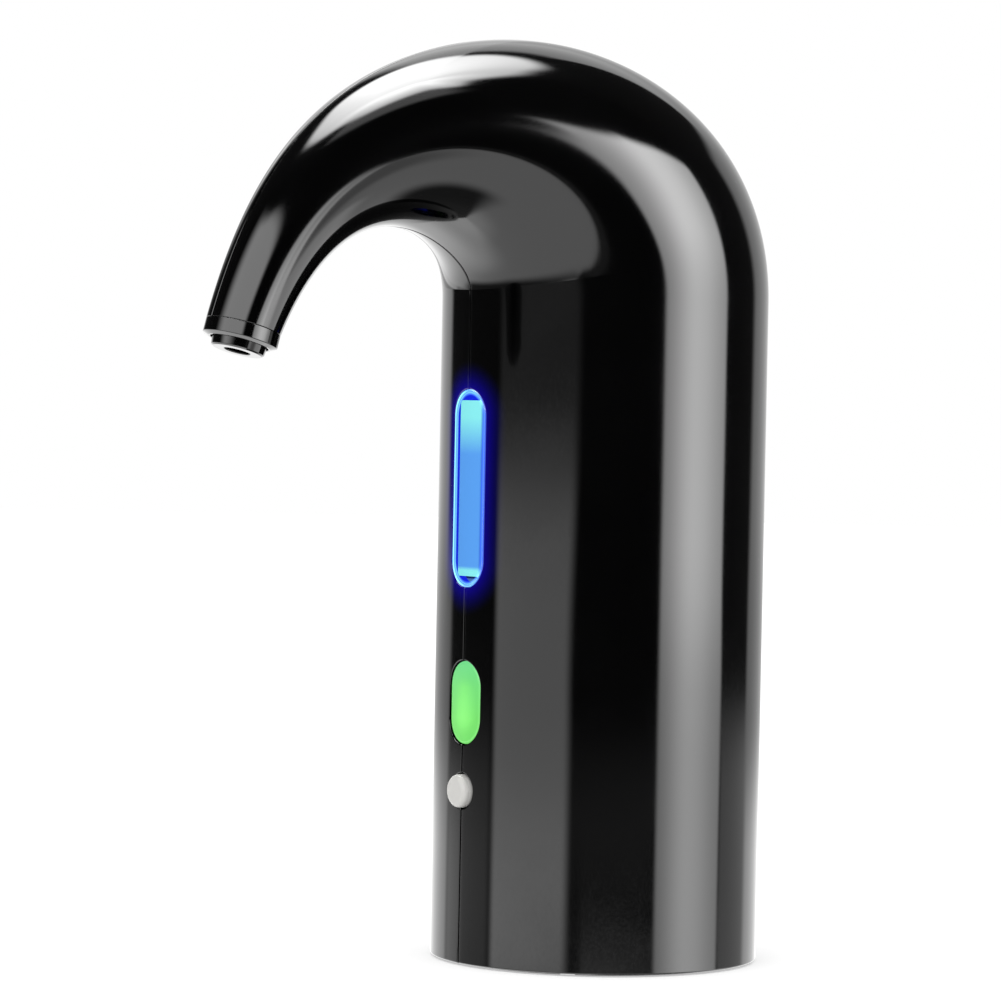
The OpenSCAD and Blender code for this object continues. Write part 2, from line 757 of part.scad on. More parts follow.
module battery_cell() {
  y0 = tube_r + 0.8;
  color([0.55, 0.6, 0.66]) difference() {
    translate([0, 0, base_t + free_gap]) linear_extrude(cell_h) union() {
      translate([-cell_w / 2 + 1, y0]) square([cell_w - 2, cell_t]);
      translate([-cell_w / 2, y0 + 1]) square([cell_w, cell_t - 2]);
      for (x = [-1, 1]) for (y = [y0 + 1, y0 + cell_t - 1]) {
        translate([x * (cell_w / 2 - 1), y]) circle(r = 1);
      }
    }
    box(-8, 8, y0 - 1, y0 + cell_t - 1, base_t + free_gap + cell_h - 1, base_t + free_gap + cell_h + 1);
  }
}

module battery_tape() {
  color(c_rubber) box(-7.5, 7.5, tube_r + 0.3, tube_r + 0.8 - seat_gap, 8, cell_h - 2);
}

module charge_board() {
  color(c_board) difference() {
    box(-9, 9, 12.5, 26, charge_z, charge_top);
    for (x = [-6.5, 6.5]) translate([x, 18.5, charge_z - 1]) cylinder(r = 1, h = charge_t + 2);
  }
}

module charge_screws() {
  color(c_steel) for (x = [-6.5, 6.5]) {
    translate([x, 18.5, charge_top]) screw(0.8, 4, 1.7, 1.2);
  }
}

// Charging socket: metal sleeve open to the back
module usb_shell() {
  color(c_steel) translate([0, R - 0.7, usb_z]) rotate([90, 90, 0]) difference() {
    linear_extrude(7.3) stadium(usb_h, usb_w);
    translate([0, 0, -1]) linear_extrude(7.6) stadium(usb_h - 0.6, usb_w - 0.6);
  }
}

module usb_tongue() {
  y0 = R - 0.7 - 6.6;
  color([0.12, 0.12, 0.13]) union() {
    box(-3.3, 3.3, y0 + seat_gap, R - 1.6, usb_z - 0.35, usb_z + 0.35);
    box(-3.5, 3.5, y0 + seat_gap, y0 + 1.2, usb_z - 1.1, usb_z + 1.1);
  }
}

// Places a piece on the pump's axis
module at_pump() {
  translate([0, pump_y, 0]) children();
}

module motor_can() {
  color(c_steel) at_pump() difference() {
    translate([0, 0, motor_z]) cylinder(r = motor_r, h = motor_len);
    translate([0, 0, motor_z + 1]) cylinder(r = motor_r - 0.8, h = motor_len);
    translate([0, 0, motor_z - 1]) cylinder(r = 3, h = 4);
    for (x = [-8, 8]) translate([x, 0, motor_z - 1]) cylinder(r = 1.05, h = 4);
  }
}

// End cap: plate, lip inside the can, bush seat and slots for the terminals
module motor_cap() {
  color([0.2, 0.2, 0.22]) at_pump() difference() {
    union() {
      translate([0, 0, can_z1 + seat_gap]) cylinder(r = motor_r, h = 2.4);
      translate([0, 0, can_z1 - 2]) cylinder(r = motor_r - 0.85, h = 3);
      translate([0, 0, can_z1 + 1]) cylinder(r = 4, h = 2.6);
    }
    translate([0, 0, can_z1 - 3]) cylinder(r = motor_r - 2.6, h = 3);
    translate([0, 0, can_z1 - 1]) cylinder(r = 2.5, h = 3.6);
    for (s = [-1, 1]) box(s * 5.9 - 0.5, s * 5.9 + 0.5, -1.6, 1.6, can_z1 - 1, can_z1 + 6);
  }
}

module motor_magnets() {
  color([0.3, 0.3, 0.32]) at_pump() for (a = [25, 205]) {
    rotate([0, 0, a]) rotate_extrude(angle = 130) translate([motor_r - 2.35, motor_z + 5]) square([1.5, 18]);
  }
}

module motor_bushes() {
  color([0.7, 0.55, 0.25]) at_pump() union() {
    pipe(2.95, shaft_r + run_gap, motor_z - 1, motor_z + 2.5);
    pipe(2.45, shaft_r + run_gap, can_z1 - 0.6, can_z1 + 2.5);
  }
}

// Carbon brushes on spring arms that end as the terminals
module motor_brushes() {
  color(c_copper) at_pump() for (s = [-1, 1]) {
    box(s > 0 ? 5.5 : -6.3, s > 0 ? 6.3 : -5.5, -1.5, 1.5, can_z1 - 4.4, can_z1 + 6);
    box(s > 0 ? 3.15 : -5.7, s > 0 ? 5.7 : -3.15, -1.1, 1.1, can_z1 - 4.4, can_z1 - 2.4);
  }
}

module motor_sleeve() {
  color(c_rubber) at_pump() pipe(hold_r - seat_gap, motor_r + seat_gap, ring_z0 - 1, ring_z1 + 1);
}

module motor_screws() {
  color(c_steel) at_pump() for (x = [-8, 8]) {
    translate([x, 0, motor_z - 2.4]) rotate([180, 0, 0]) screw(1, 3.6, 1.8, 1.3);
  }
}

module rotor_shaft() {
  color(c_steel) at_pump() translate([0, 0, motor_z - 4.9]) cylinder(r = shaft_r, h = motor_len + 7.2);
}

// Three-pole core
module armature() {
  r = motor_r - 2.9;
  color([0.45, 0.45, 0.47]) at_pump() translate([0, 0, motor_z + 7]) difference() {
    union() {
      cylinder(r = 3.2, h = 14);
      for (a = [0, 120, 240]) rotate([0, 0, a]) {
        box(2.4, r - 0.7, -1.5, 1.5, 0.2, 13.8);
        rotate([0, 0, -46]) rotate_extrude(angle = 92) translate([r - 1.5, 0]) square([1.5, 14]);
      }
    }
    translate([0, 0, -1]) cylinder(r = shaft_r + 0.02, h = 16);
  }
}

module armature_coils() {
  color(c_copper) at_pump() for (a = [30, 150, 270]) rotate([0, 0, a - 30]) difference() {
    box(3.6, 6.6, -3.4, 3.4, motor_z + 5, motor_z + 23);
    box(3, 7, -1.55, 1.55, motor_z + 6.9, motor_z + 21.1);
  }
}

module commutator() {
  color(c_copper) at_pump() difference() {
    translate([0, 0, can_z1 - 5]) cylinder(r = 3, h = 3.2);
    translate([0, 0, can_z1 - 6]) cylinder(r = shaft_r + 0.02, h = 6);
    for (a = [0, 60, 120]) rotate([0, 0, a]) box(-4, 4, -0.15, 0.15, can_z1 - 4.6, can_z1);
  }
}

// Wheel on the shaft that carries the offset pin
module eccentric() {
  color(c_white) at_pump() difference() {
    union() {
      translate([0, 0, motor_z - 5.1]) cylinder(r = 5, h = 2.3);
      translate([0, 0, motor_z - 3]) cylinder(r = 2.6, h = 1.7);
    }
    translate([0, 0, motor_z - 4.9]) cylinder(r = shaft_r + 0.02, h = 6);
    translate([throw + shaft_r + 1, 0, motor_z - 6]) cylinder(r = 0.72, h = 1.9);
  }
}

// Cranked pin: one leg in the wheel, one in the wobble plate's cup
module eccentric_pin() {
  color(c_steel) at_pump() union() {
    translate([throw + shaft_r + 1, 0, motor_z - 5.6]) cylinder(r = 0.7, h = 1.4);
    box(throw - 0.7, throw + shaft_r + 1.4, -0.6, 0.6, motor_z - 6.3, motor_z - 5.3);
    translate([throw, 0, motor_z - 7.4]) cylinder(r = 0.7, h = 1.6);
  }
}

module pump_housing() {
  color(c_rubber) at_pump() difference() {
    translate([0, 0, house_z + seat_gap]) cylinder(r = pump_r, h = motor_z - house_z - 2 * seat_gap);
    translate([0, 0, house_z - 1]) cylinder(r = pump_r - 3.1, h = motor_z - house_z - 1.4);
    translate([0, 0, house_z]) cylinder(r = 3.3, h = 20);
    for (x = [-8, 8]) translate([x, 0, house_z]) cylinder(r = 1.1, h = 20);
    for (a = boss_a) translate(polar(screw_p, a)) translate([0, 0, house_z - 1]) cylinder(r = 0.92, h = 8.2);
  }
}

// Three-armed plate that works the diaphragm's cups
module wobble_plate() {
  z = house_z + 0.3;
  color(c_white) at_pump() difference() {
    union() {
      translate([0, 0, z]) cylinder(r = 3.6, h = 3.7);
      for (a = [0, 120, 240]) rotate([0, 0, a]) {
        translate([0, -1.8, z]) cube([cup_p, 3.6, 1.6]);
        translate([cup_p, 0, z]) cylinder(r = 2.4, h = 1.6);
      }
    }
    translate([0, 0, z + 2]) cylinder(r = throw + 1.1, h = 6);
    for (a = [0, 120, 240]) translate(polar(cup_p, a)) translate([0, 0, z - 1]) cylinder(r = 1.2, h = 4);
  }
}

module pump_cylinder() {
  color(c_grey) at_pump() difference() {
    translate([0, 0, cyl_z + seat_gap]) cylinder(r = pump_r, h = house_z - cyl_z - seat_gap);
    for (a = [0, 120, 240]) translate(polar(cup_p, a)) translate([0, 0, cyl_z - 1]) cylinder(r = 4.2, h = 8);
    for (a = boss_a) translate(polar(screw_p, a)) translate([0, 0, cyl_z - 1]) cylinder(r = 1, h = 8);
  }
}

module diaphragm() {
  color(c_rubber) at_pump() difference() {
    union() {
      translate([0, 0, skin_z + seat_gap]) cylinder(r = pump_r, h = cyl_z - skin_z - seat_gap);
      for (a = [0, 120, 240]) translate(polar(cup_p, a)) {
        translate([0, 0, skin_z + seat_gap]) cylinder(r = 3.9, h = 5);
        translate([0, 0, skin_z + 4]) cylinder(r = 1.9, h = house_z + 0.25 - skin_z - 4);
        translate([0, 0, skin_z + 4]) cylinder(r = 1.15, h = house_z + 2.4 - skin_z - 4);
      }
    }
    for (a = [0, 120, 240]) translate(polar(cup_p, a)) {
      translate([0, 0, skin_z - 1]) cylinder(r = 3.2, h = 5.2);
    }
    for (a = boss_a) translate(polar(screw_p, a)) translate([0, 0, skin_z - 1]) cylinder(r = 1, h = 8);
  }
}

module valve_plate() {
  color(c_grey) at_pump() difference() {
    translate([0, 0, plate_z + seat_gap]) cylinder(r = pump_r, h = skin_z - plate_z - seat_gap);
    translate([0, 0, plate_z - 1]) cylinder(r = 0.8, h = 8);
    for (a = [0, 120, 240]) translate(polar(2.9, a)) translate([0, 0, plate_z - 1]) cylinder(r = 0.6, h = 8);
    for (a = boss_a) translate(polar(screw_p, a)) translate([0, 0, plate_z - 1]) cylinder(r = 1, h = 8);
  }
}

module valve_flap() {
  color(c_rubber) at_pump() union() {
    translate([0, 0, plate_z - 0.6]) cylinder(r = 4.2, h = 0.6);
    translate([0, 0, plate_z - 0.3]) cylinder(r = 0.75, h = 3);
  }
}

module pump_cover() {
  color(c_grey) at_pump() difference() {
    union() {
      translate([0, 0, cover_z]) cylinder(r = pump_r, h = plate_z - cover_z);
      translate([0, 0, cover_z - 6]) cylinder(r = nipple_r, h = 7);
    }
    translate([0, 0, cover_z + 1.8]) cylinder(r = 9.4, h = 6);
    translate([0, 0, cover_z - 7]) cylinder(r = 1.1, h = 10);
    for (a = boss_a) translate(polar(screw_p, a)) {
      translate([0, 0, cover_z - 1]) cylinder(r = 1, h = 8);
      translate([0, 0, cover_z - 1]) cylinder(r = 1.4, h = 2.4);
    }
  }
}

module pump_screws() {
  color(c_steel) at_pump() for (a = boss_a) {
    translate(polar(screw_p, a)) translate([0, 0, cover_z + 1.4]) rotate([180, 0, 0]) {
      screw(0.88, 18, 1.3, 1.2);
    }
  }
}

module air_hose() {
  color(c_hose) at_pump() pipe(hose_d / 2 + 0.3, hose_bore / 2, top_z + block_t + 0.3, cover_z - 0.3);
}

// Up from the fitting, then forward into the sight tube
module wine_hose_lower() {
  b = 8;
  z1 = port_z - b;
  p = concat(
    [for (i = [0:3]) [0, wine_y, top_z + block_t + 0.3 + (z1 - top_z - block_t - 0.3) * i / 3]],
    [for (a = [9:9:90]) [0, wine_y - b + b * cos(a), z1 + b * sin(a)]],
    [[0, sight_b + 0.3, port_z]]
  );
  color(c_hose) hose(p, hose_d / 2, hose_bore / 2, [1, 0, 0]);
}

// Up from the sight tube, over through the spout and down to the outlet
module wine_hose_upper() {
  z0 = window_z + sight_h / 2 + 0.4;
  a = [-sight_y, z0 + 6];
  e = tip_c + (ring_h + 8) * tip_u;
  h = [
    a, a + [0, 22], [-sight_y + 0.5, body_h + 40], [spout_reach - 20, body_h + 36],
    e + 20 * tip_u, e
  ];
  p = concat(
    [mid([-sight_y, z0]), mid([-sight_y, z0 + 3])],
    [for (i = [0:26]) mid(bez(h, i / 26))],
    [mid(tip_c + (ring_h + 5) * tip_u), mid(tip_c + (ring_h + 2.3) * tip_u)]
  );
  color(c_hose) hose(p, hose_d / 2, hose_bore / 2, [1, 0, 0]);
}

module battery_leads() {
  y = tube_r + 0.8 + cell_t - 3.6;
  z0 = base_t + free_gap + cell_h - 1 + seat_gap;
  color([0.7, 0.1, 0.1]) for (x = [-2, 2]) {
    translate([x, y, z0]) cylinder(d = lead_d, h = charge_z - seat_gap - z0);
  }
}

// From the charging board round the side to the control board
module power_leads() {
  h = lead_d / 2;
  color([0.7, 0.1, 0.1]) for (i = [0, 1]) {
    q = R - 6.2 + 0.9 * i;
    z = deck_z + 1.5 + 1.1 * i;
    lead(spline(concat(
      [[7.2, 21.6 + 1.8 * i, charge_top + h + seat_gap]],
      [[9, 21.8 + 1.8 * i, charge_top + h + seat_gap]],
      [for (a = [52:-23:-40]) [q * cos(a), q * sin(a), z]],
      [[13.8 + 0.6 * i, board_y + 2.6 - 0.4 * i, z + 1 + 0.3 * i]],
      [[8.5, board_y + h + seat_gap, z + 1.4 + 0.6 * i]]
    ), 5), h, [0, 0, 1]);
  }
}

module led_leads() {
  h = lead_d / 2;
  color([0.15, 0.15, 0.16]) for (x = [-4.6, 4.6]) {
    lead(spline([
      [x, led_f - h - seat_gap, led_z0 + 2], [x, led_f - h - seat_gap, led_z0 - 3],
      [x, board_y + h + 0.2, board_z1 + 6], [x, board_y + h + seat_gap, board_z1 - 4]
    ], 6), h, [1, 0, 0]);
  }
}

// From the motor's terminals over the ring and down the side to the control board
module motor_leads() {
  h = lead_d / 2;
  t = can_z1 + 5;
  color([0.15, 0.15, 0.4]) for (i = [0, 1]) {
    s = i > 0 ? [[6.3 + h + seat_gap, pump_y, t], [6.6, pump_y + 1, t + 3.6], [0, pump_y + 2, t + 6]]
      : [[-6.3 - h - seat_gap, pump_y, t - 2], [-7.4, pump_y, t + 1]];
    lead(spline(concat(s, [
      [-13, pump_y - 1 - 1.8 * i, t - 0.5 + 3 * i], [-18 - 1.6 * i, 4, t - 8],
      [-20.2 - 1.6 * i, 3, ring_z1 - 6], [-20.2 - 1.6 * i, 2, 80], [-20.4 - 1.6 * i, -1, 62],
      [-19 - 1.5 * i, -10 - 0.4 * i, deck_z + 5 + 0.4 * i],
      [-14 - 0.4 * i, board_y + 2.6 - 0.2 * i, deck_z + 3 + 1.6 * i],
      [-8.5, board_y + h + seat_gap, deck_z + 2.4 + 1.7 * i]
    ]), 5), h, [0, 1, 0.3]);
  }
}

shell_right();
shell_left();
base_cover();
base_screws();
nozzle_ring();
outlet_tip();
window_lens();
sight_tube();
led_board();
blue_leds();
led_screws();
control_board();
control_screws();
control_chip();
dispense_button();
dispense_switch();
dispense_plunger();
green_leds();
mode_button();
mode_switch();
mode_plunger();
bottle_stopper();
bottle_fitting();
fitting_screws();
chassis();
chassis_screws();
battery_cell();
battery_tape();
charge_board();
charge_screws();
usb_shell();
usb_tongue();
motor_can();
motor_cap();
motor_magnets();
motor_bushes();
motor_brushes();
motor_sleeve();
motor_screws();
rotor_shaft();
armature();
armature_coils();
commutator();
eccentric();
eccentric_pin();
pump_housing();
wobble_plate();
pump_cylinder();
diaphragm();
valve_plate();
valve_flap();
pump_cover();
pump_screws();
air_hose();
wine_hose_lower();
wine_hose_upper();
battery_leads();
power_leads();
led_leads();
motor_leads();
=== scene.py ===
"""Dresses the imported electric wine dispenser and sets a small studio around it.

The row frame is in metres: the spout, window and buttons face -Y, Z is up and the origin is the centre of
the bottle socket's mouth on the table. Shapes are worked out in millimetres and scaled when a mesh is made.
"""

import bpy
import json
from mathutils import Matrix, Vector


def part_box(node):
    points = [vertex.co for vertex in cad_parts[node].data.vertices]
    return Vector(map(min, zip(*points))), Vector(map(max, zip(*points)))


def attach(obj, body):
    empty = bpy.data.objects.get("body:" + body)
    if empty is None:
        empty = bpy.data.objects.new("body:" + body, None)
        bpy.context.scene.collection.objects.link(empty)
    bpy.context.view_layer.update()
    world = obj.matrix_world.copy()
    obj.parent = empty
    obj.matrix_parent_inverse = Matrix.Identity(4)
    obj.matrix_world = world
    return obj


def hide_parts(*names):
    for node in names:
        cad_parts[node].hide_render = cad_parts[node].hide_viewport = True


bl_info = {
    "name": "Wine Dispenser Dressing",
    "version": (1, 0, 0),
    "blender": (4, 5, 0),
    "location": "3D View > Sidebar > Dispenser",
    "description": "Builds the visible pieces, finishes and studio of an electric wine dispenser",
    "category": "Object",
}

import json
import math

import bmesh
import bpy
import numpy as np
from bpy.props import FloatProperty, FloatVectorProperty, PointerProperty
from mathutils import Matrix, Vector

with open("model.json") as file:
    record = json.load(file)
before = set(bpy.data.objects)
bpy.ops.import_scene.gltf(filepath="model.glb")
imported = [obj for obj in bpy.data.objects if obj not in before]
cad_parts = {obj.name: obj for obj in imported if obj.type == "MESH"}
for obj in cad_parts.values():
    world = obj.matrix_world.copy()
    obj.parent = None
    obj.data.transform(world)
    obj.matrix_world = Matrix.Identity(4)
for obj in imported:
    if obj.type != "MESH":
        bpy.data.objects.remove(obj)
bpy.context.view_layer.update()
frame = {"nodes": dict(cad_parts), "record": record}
SHELL_LOW, SHELL_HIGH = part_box("shell_right")
MM = 0.001


def size(name, text, default):
    """A length in metres for the sidebar, from a default in millimetres."""
    return FloatProperty(name=name, description=text, default=default * MM, unit="LENGTH", precision=5)


def tint(name, text, default):
    """A linear colour for the sidebar."""
    return FloatVectorProperty(
        name=name, description=text, default=default, size=3, subtype="COLOR", min=0.0, max=1.0
    )


class HousingSizes(bpy.types.PropertyGroup):
    """Sizes of the two half shells."""

    radius: size("Body radius", "Outside radius of the round body", SHELL_HIGH.x / MM)
    straight: size("Straight height", "Height at which the body starts to bend into the spout", 125.0)
    foot: size("Foot gap", "Height of the shells' lower edge above the table", SHELL_LOW.z / MM)
    wall: size("Wall", "Wall of the shells", 2.2)
    seam: size("Seam", "Gap between the two half shells", 0.36)
    lower_edge: size("Lower edge", "Rounding of the shells' lower edge", 0.3)
    seam_edge: size("Seam edge", "Rounding of the edges along the seam and openings", 0.2)
    reach: size("Spout reach", "Distance from the axis to the middle of the nozzle's rim", 81.1)
    tip_height: size("Spout height", "Height of the middle of the nozzle's rim", 115.2)
    nozzle_radius: size("Nozzle radius", "Outside radius of the nozzle", 6.9)
    ring: size("Ring height", "Height of the nozzle's end ring", 3.0)


class WindowSizes(bpy.types.PropertyGroup):
    """Sizes and painted light of the window."""

    width: size("Width", "Width of the window's opening", 10.3)
    height: size("Height", "Height of the window's opening", 37.1)
    middle: size("Middle", "Height of the window's middle", 89.2)
    rim_light: tint("Rim light", "Light in the edge of the lens", (0.27, 0.88, 1.0))
    well_light: tint("Well light", "Light in the walls behind the lens", (0.006, 0.022, 0.86))
    strip_light: tint("Strip light", "Light in the middle of the sight tube", (0.12, 0.41, 1.0))
    strip_end: tint("Strip end light", "Light near the two ends of the sight tube", (0.30, 1.0, 1.0))


class ButtonSizes(bpy.types.PropertyGroup):
    """Sizes, colours and painted light of the two buttons."""

    width: size("Width", "Width of the dispense button's opening", 10.0)
    height: size("Height", "Height of the dispense button's opening", 15.8)
    middle: size("Middle", "Height of the dispense button's middle", 49.2)
    mode_width: size("Mode width", "Diameter of the mode button's opening", 6.8)
    mode_middle: size("Mode middle", "Height of the mode button's middle", 32.7)
    green: tint("Green", "Colour of the dispense button's plastic", (0.10, 0.35, 0.08))
    light: tint("Light", "Light in the middle of the dispense button", (0.20, 0.74, 0.15))
    grey: tint("Grey", "Colour of the mode button", (0.80, 0.79, 0.76))


class StudioSizes(bpy.types.PropertyGroup):
    """Light and camera of the studio."""

    distance: size("Camera distance", "Distance of the camera from the body's axis", 850.0)
    camera_height: size("Camera height", "Height of the camera above the table", 106.91)
    floor: tint("Floor", "Colour of the floor", (0.86, 0.86, 0.86))
    fill: FloatProperty(name="Fill", description="Strength of the soft light from all round", default=0.85)
    key: FloatProperty(name="Key", description="Power of the soft key light", default=2.0, unit="POWER")


def mm(*lengths):
    """Lengths from the sidebar, in millimetres."""
    return [length / MM for length in lengths]


def slot_of(sizes):
    """Middle height, half length of the spine and radius of the window or the dispense button's opening."""
    return sizes.middle, (sizes.height - sizes.width) / 2, sizes.width / 2


def ease(value, low, high):
    """Smooth step from 0 at low to 1 at high; falls instead where low is above high."""
    t = np.clip((value - low) / (high - low), 0, 1)
    return t * t * (3 - 2 * t)


def unit(vectors):
    """Vectors along the last axis, brought to length one."""
    return vectors / np.linalg.norm(vectors, axis=-1, keepdims=True)


# Arrays into meshes

MERGE, SLIVER = 1e-7, 1e-8
SHARP = math.radians(40)


def add_piece(name, points, faces, normals=None, colours=None, finish=None, weld=False):
    """Makes an object from points in millimetres and rows of four corners.

    Normals, where given, replace the smooth ones at points whose row isn't zero. Colours become a point
    attribute, and finish gives each face its material slot. Weld merges the points of a pole or seam that
    fall on each other.
    """
    mesh = bpy.data.meshes.new(name)
    mesh.from_pydata(np.asarray(points, float) * MM, [], np.asarray(faces))
    if colours is not None:
        layer = mesh.attributes.new("glow", "FLOAT_COLOR", "POINT")
        layer.data.foreach_set("color", np.c_[colours, np.ones(len(colours))].astype(np.float32).ravel())
    if finish is not None:
        mesh.polygons.foreach_set("material_index", np.asarray(finish, np.int32))
    if weld:
        work = bmesh.new()
        work.from_mesh(mesh)
        bmesh.ops.remove_doubles(work, verts=work.verts, dist=MERGE)
        bmesh.ops.dissolve_degenerate(work, edges=work.edges, dist=SLIVER)
        work.to_mesh(mesh)
        work.free()
    mesh.shade_smooth()
    if normals is not None:
        mesh.normals_split_custom_set_from_vertices(normals)
    else:
        mesh.set_sharp_from_angle(angle=SHARP)
    mesh.update()
    obj = bpy.data.objects.new(name, mesh)
    bpy.context.scene.collection.objects.link(obj)
    return obj


def settle(obj, body, slot, materials, *nodes):
    """Rides a piece on a body, in place of its CAD nodes, with its finishes."""
    for material in materials if isinstance(materials, tuple) else (materials,):
        obj.data.materials.append(material)
    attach(obj, body)
    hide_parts(*nodes)


def grid_faces(rows, cols, wrap_rows=False, wrap_cols=False):
    """Corners of the quads between neighbouring rows and columns of a grid of points."""
    i, j = np.indices((rows - (not wrap_rows), cols - (not wrap_cols)))
    row, after, right = i * cols, (i + 1) % rows * cols, (j + 1) % cols
    return np.stack([row + j, row + right, after + right, after + j], -1).reshape(-1, 4)


def rounded(corners, steps=6):
    """Closed outline through corners of (u, v, radius), each turned by a circular arc of that radius.

    The arc starts and ends where the two sides are cut by the radius over the half angle's tangent, and is
    swept as a quadratic through the corner, weighted to a circle. Steps are the points in each arc. A point
    a hair before and after each arc keeps the flats beside it flat in the light.
    """
    c = np.asarray(corners, float)
    p, r = c[:, :2], c[:, 2:]
    back, ahead = unit(np.roll(p, 1, 0) - p), unit(np.roll(p, -1, 0) - p)
    half = np.arccos(np.clip((back * ahead).sum(1, keepdims=True), -1, 1)) / 2
    cut = r / np.tan(half)
    t = np.linspace(0, 1, steps)[None, :, None]
    w = np.sin(half)[:, None]
    one, two = (p + back * cut)[:, None], (p + ahead * cut)[:, None]
    top = one * (1 - t) ** 2 + 2 * w * t * (1 - t) * p[:, None] + two * t**2
    arcs = top / ((1 - t) ** 2 + 2 * w * t * (1 - t) + t**2)
    hair = 0.02
    return np.hstack([one + hair * back[:, None], arcs, two + hair * ahead[:, None]]).reshape(-1, 2)


def lathe(profile, steps=96):
    """Turned ring: a closed outline of (radius, height) carried round the Z axis in equal steps."""
    a = np.linspace(0, 2 * np.pi, steps, endpoint=False)[:, None]
    r, z = profile[None, :, 0], profile[None, :, 1]
    points = np.stack([r * np.cos(a), r * np.sin(a), z + 0 * a], -1)
    return points.reshape(-1, 3), grid_faces(steps, len(profile), True, True)


def sleeve(inner, outer, low, high):
    """Plain turned sleeve between two radii and two heights."""
    return lathe(np.array([[inner, low], [outer, low], [outer, high], [inner, high]]), 32)


def slot_lathe(profile, half, middle, radius, steps=48):
    """Capsule cut from a round body's front: a profile of (reach from the slot's spine, depth) carried round.

    The spine is an upright line of length twice half about the middle height. Each point lies at its reach
    from the spine, in the direction of the turn, and at its depth below the body's cylinder of that radius.
    The points' reaches and depths are given last.
    """
    a = np.linspace(0, 2 * np.pi, 2 * steps, endpoint=False) + np.pi / 2 / steps
    across = profile[None, :, 0] * np.cos(a)[:, None]
    up = middle + np.sign(np.sin(a))[:, None] * half + profile[None, :, 0] * np.sin(a)[:, None]
    out = np.sqrt((radius - profile[None, :, 1]) ** 2 - across**2)
    points = np.stack([across, -out, up], -1).reshape(-1, 3)
    return points, grid_faces(2 * steps, len(profile), True), np.tile(profile, (2 * steps, 1)).T


def tube(path, outer, inner=0.0, steps=24):
    """Round hose or lead: a circle of constant radius square to a path, in steps.

    The circle's two axes come from the path's direction crossed with a fixed slant, and with the result.
    A hose runs back along the path on its inner radius. A lead closes to a point on its axis at both ends.
    """
    v = unit(np.gradient(path, axis=0))
    n = np.cross(v, [1.0, 0.013, 0.021])
    flat = np.linalg.norm(n, axis=1, keepdims=True) < 0.2
    n = unit(np.where(flat, np.cross(v, [0.02, 0.03, 1.0]), n))
    b = np.cross(v, n)
    a = np.linspace(0, 2 * np.pi, steps, endpoint=False)[None, :, None]
    ring = np.cos(a) * n[:, None] + np.sin(a) * b[:, None]
    if inner:
        points = np.concatenate([path[:, None] + outer * ring, (path[:, None] + inner * ring)[::-1]])
        return points.reshape(-1, 3), grid_faces(len(points), steps, True, True)[:, ::-1]
    ends = np.r_[0, 0, np.arange(len(path)), -1, -1]
    reach = np.r_[0, 0.75, np.ones(len(path)), 0.75, 0][:, None, None] * outer
    points = path[ends][:, None] + reach * ring[ends]
    return points.reshape(-1, 3), grid_faces(len(points), steps, False, True)[:, ::-1]


def through(points, steps=8):
    """Smooth path through points: between each two, the cubic whose slopes are half their neighbours' span."""
    p = np.asarray(points, float)
    a, b = np.vstack([p[:1], p[:-2]]), p[:-1]
    c, d = p[1:], np.vstack([p[2:], p[-1:]])
    t = (np.arange(steps) / steps)[None, :, None]
    a, b, c, d = (q[:, None] for q in (a, b, c, d))
    q = 0.5 * (2 * b + (c - a) * t + (2 * a - 5 * b + 4 * c - d) * t**2 + (3 * b - a - 3 * c + d) * t**3)
    return np.vstack([q.reshape(-1, 3), p[-1:]])


def bezier(handles, t):
    """Curve with six handles, each weighted by its term of the fifth power of t + (1 - t)."""
    k = np.arange(6)
    t = np.asarray(t, float)[:, None]
    return (np.array([1, 5, 10, 10, 5, 1]) * t**k * (1 - t) ** (5 - k)) @ handles


# The housing


def lean(angle):
    """Direction in the mid-plane, forward and up, that leans back from straight up."""
    return np.array([-math.sin(math.radians(angle)), math.cos(math.radians(angle))])


TIP_U = lean(15.5)
TIP_E = np.array([TIP_U[1], -TIP_U[0]])


def neck_frames(h, t):
    """Middles, directions and radii of the spout's round sections, forward and up in the mid-plane.

    A section is the circle whose diameter joins the point of the outer curve and the point of the inner
    curve at the same place t, square to the mid-plane.
    """
    r, z, ring, tip = mm(h.radius, h.straight, h.ring, h.nozzle_radius)
    neck = np.array([h.reach, h.tip_height]) / MM + ring * TIP_U
    side = tip * TIP_E
    outer = [[-r, z], [-r, z + 46.6], [19.1, z + 65.5], [51.2, z + 43.2]]
    outer += [neck + side + 48.8 * lean(17.3), neck + side]
    inner = [[r, z], [r, z + 3.9], [r + 2.0, z + 5.3], [r + 2.9, z + 8.8]]
    inner += [neck - side + 40.7 * lean(24.0), neck - side]
    out, inn = bezier(np.array(outer), t), bezier(np.array(inner), t)
    span = np.linalg.norm(out - inn, axis=1)
    return (out + inn) / 2, (out - inn) / span[:, None], span / 2


def slot_width(z, middle, half, radius, more):
    """Half width at height z of an upright slot with round ends, grown all round by more."""
    up = np.maximum(np.abs(z - middle) - half, 0)
    return np.sqrt(np.maximum((radius + more) ** 2 - up**2, 0))


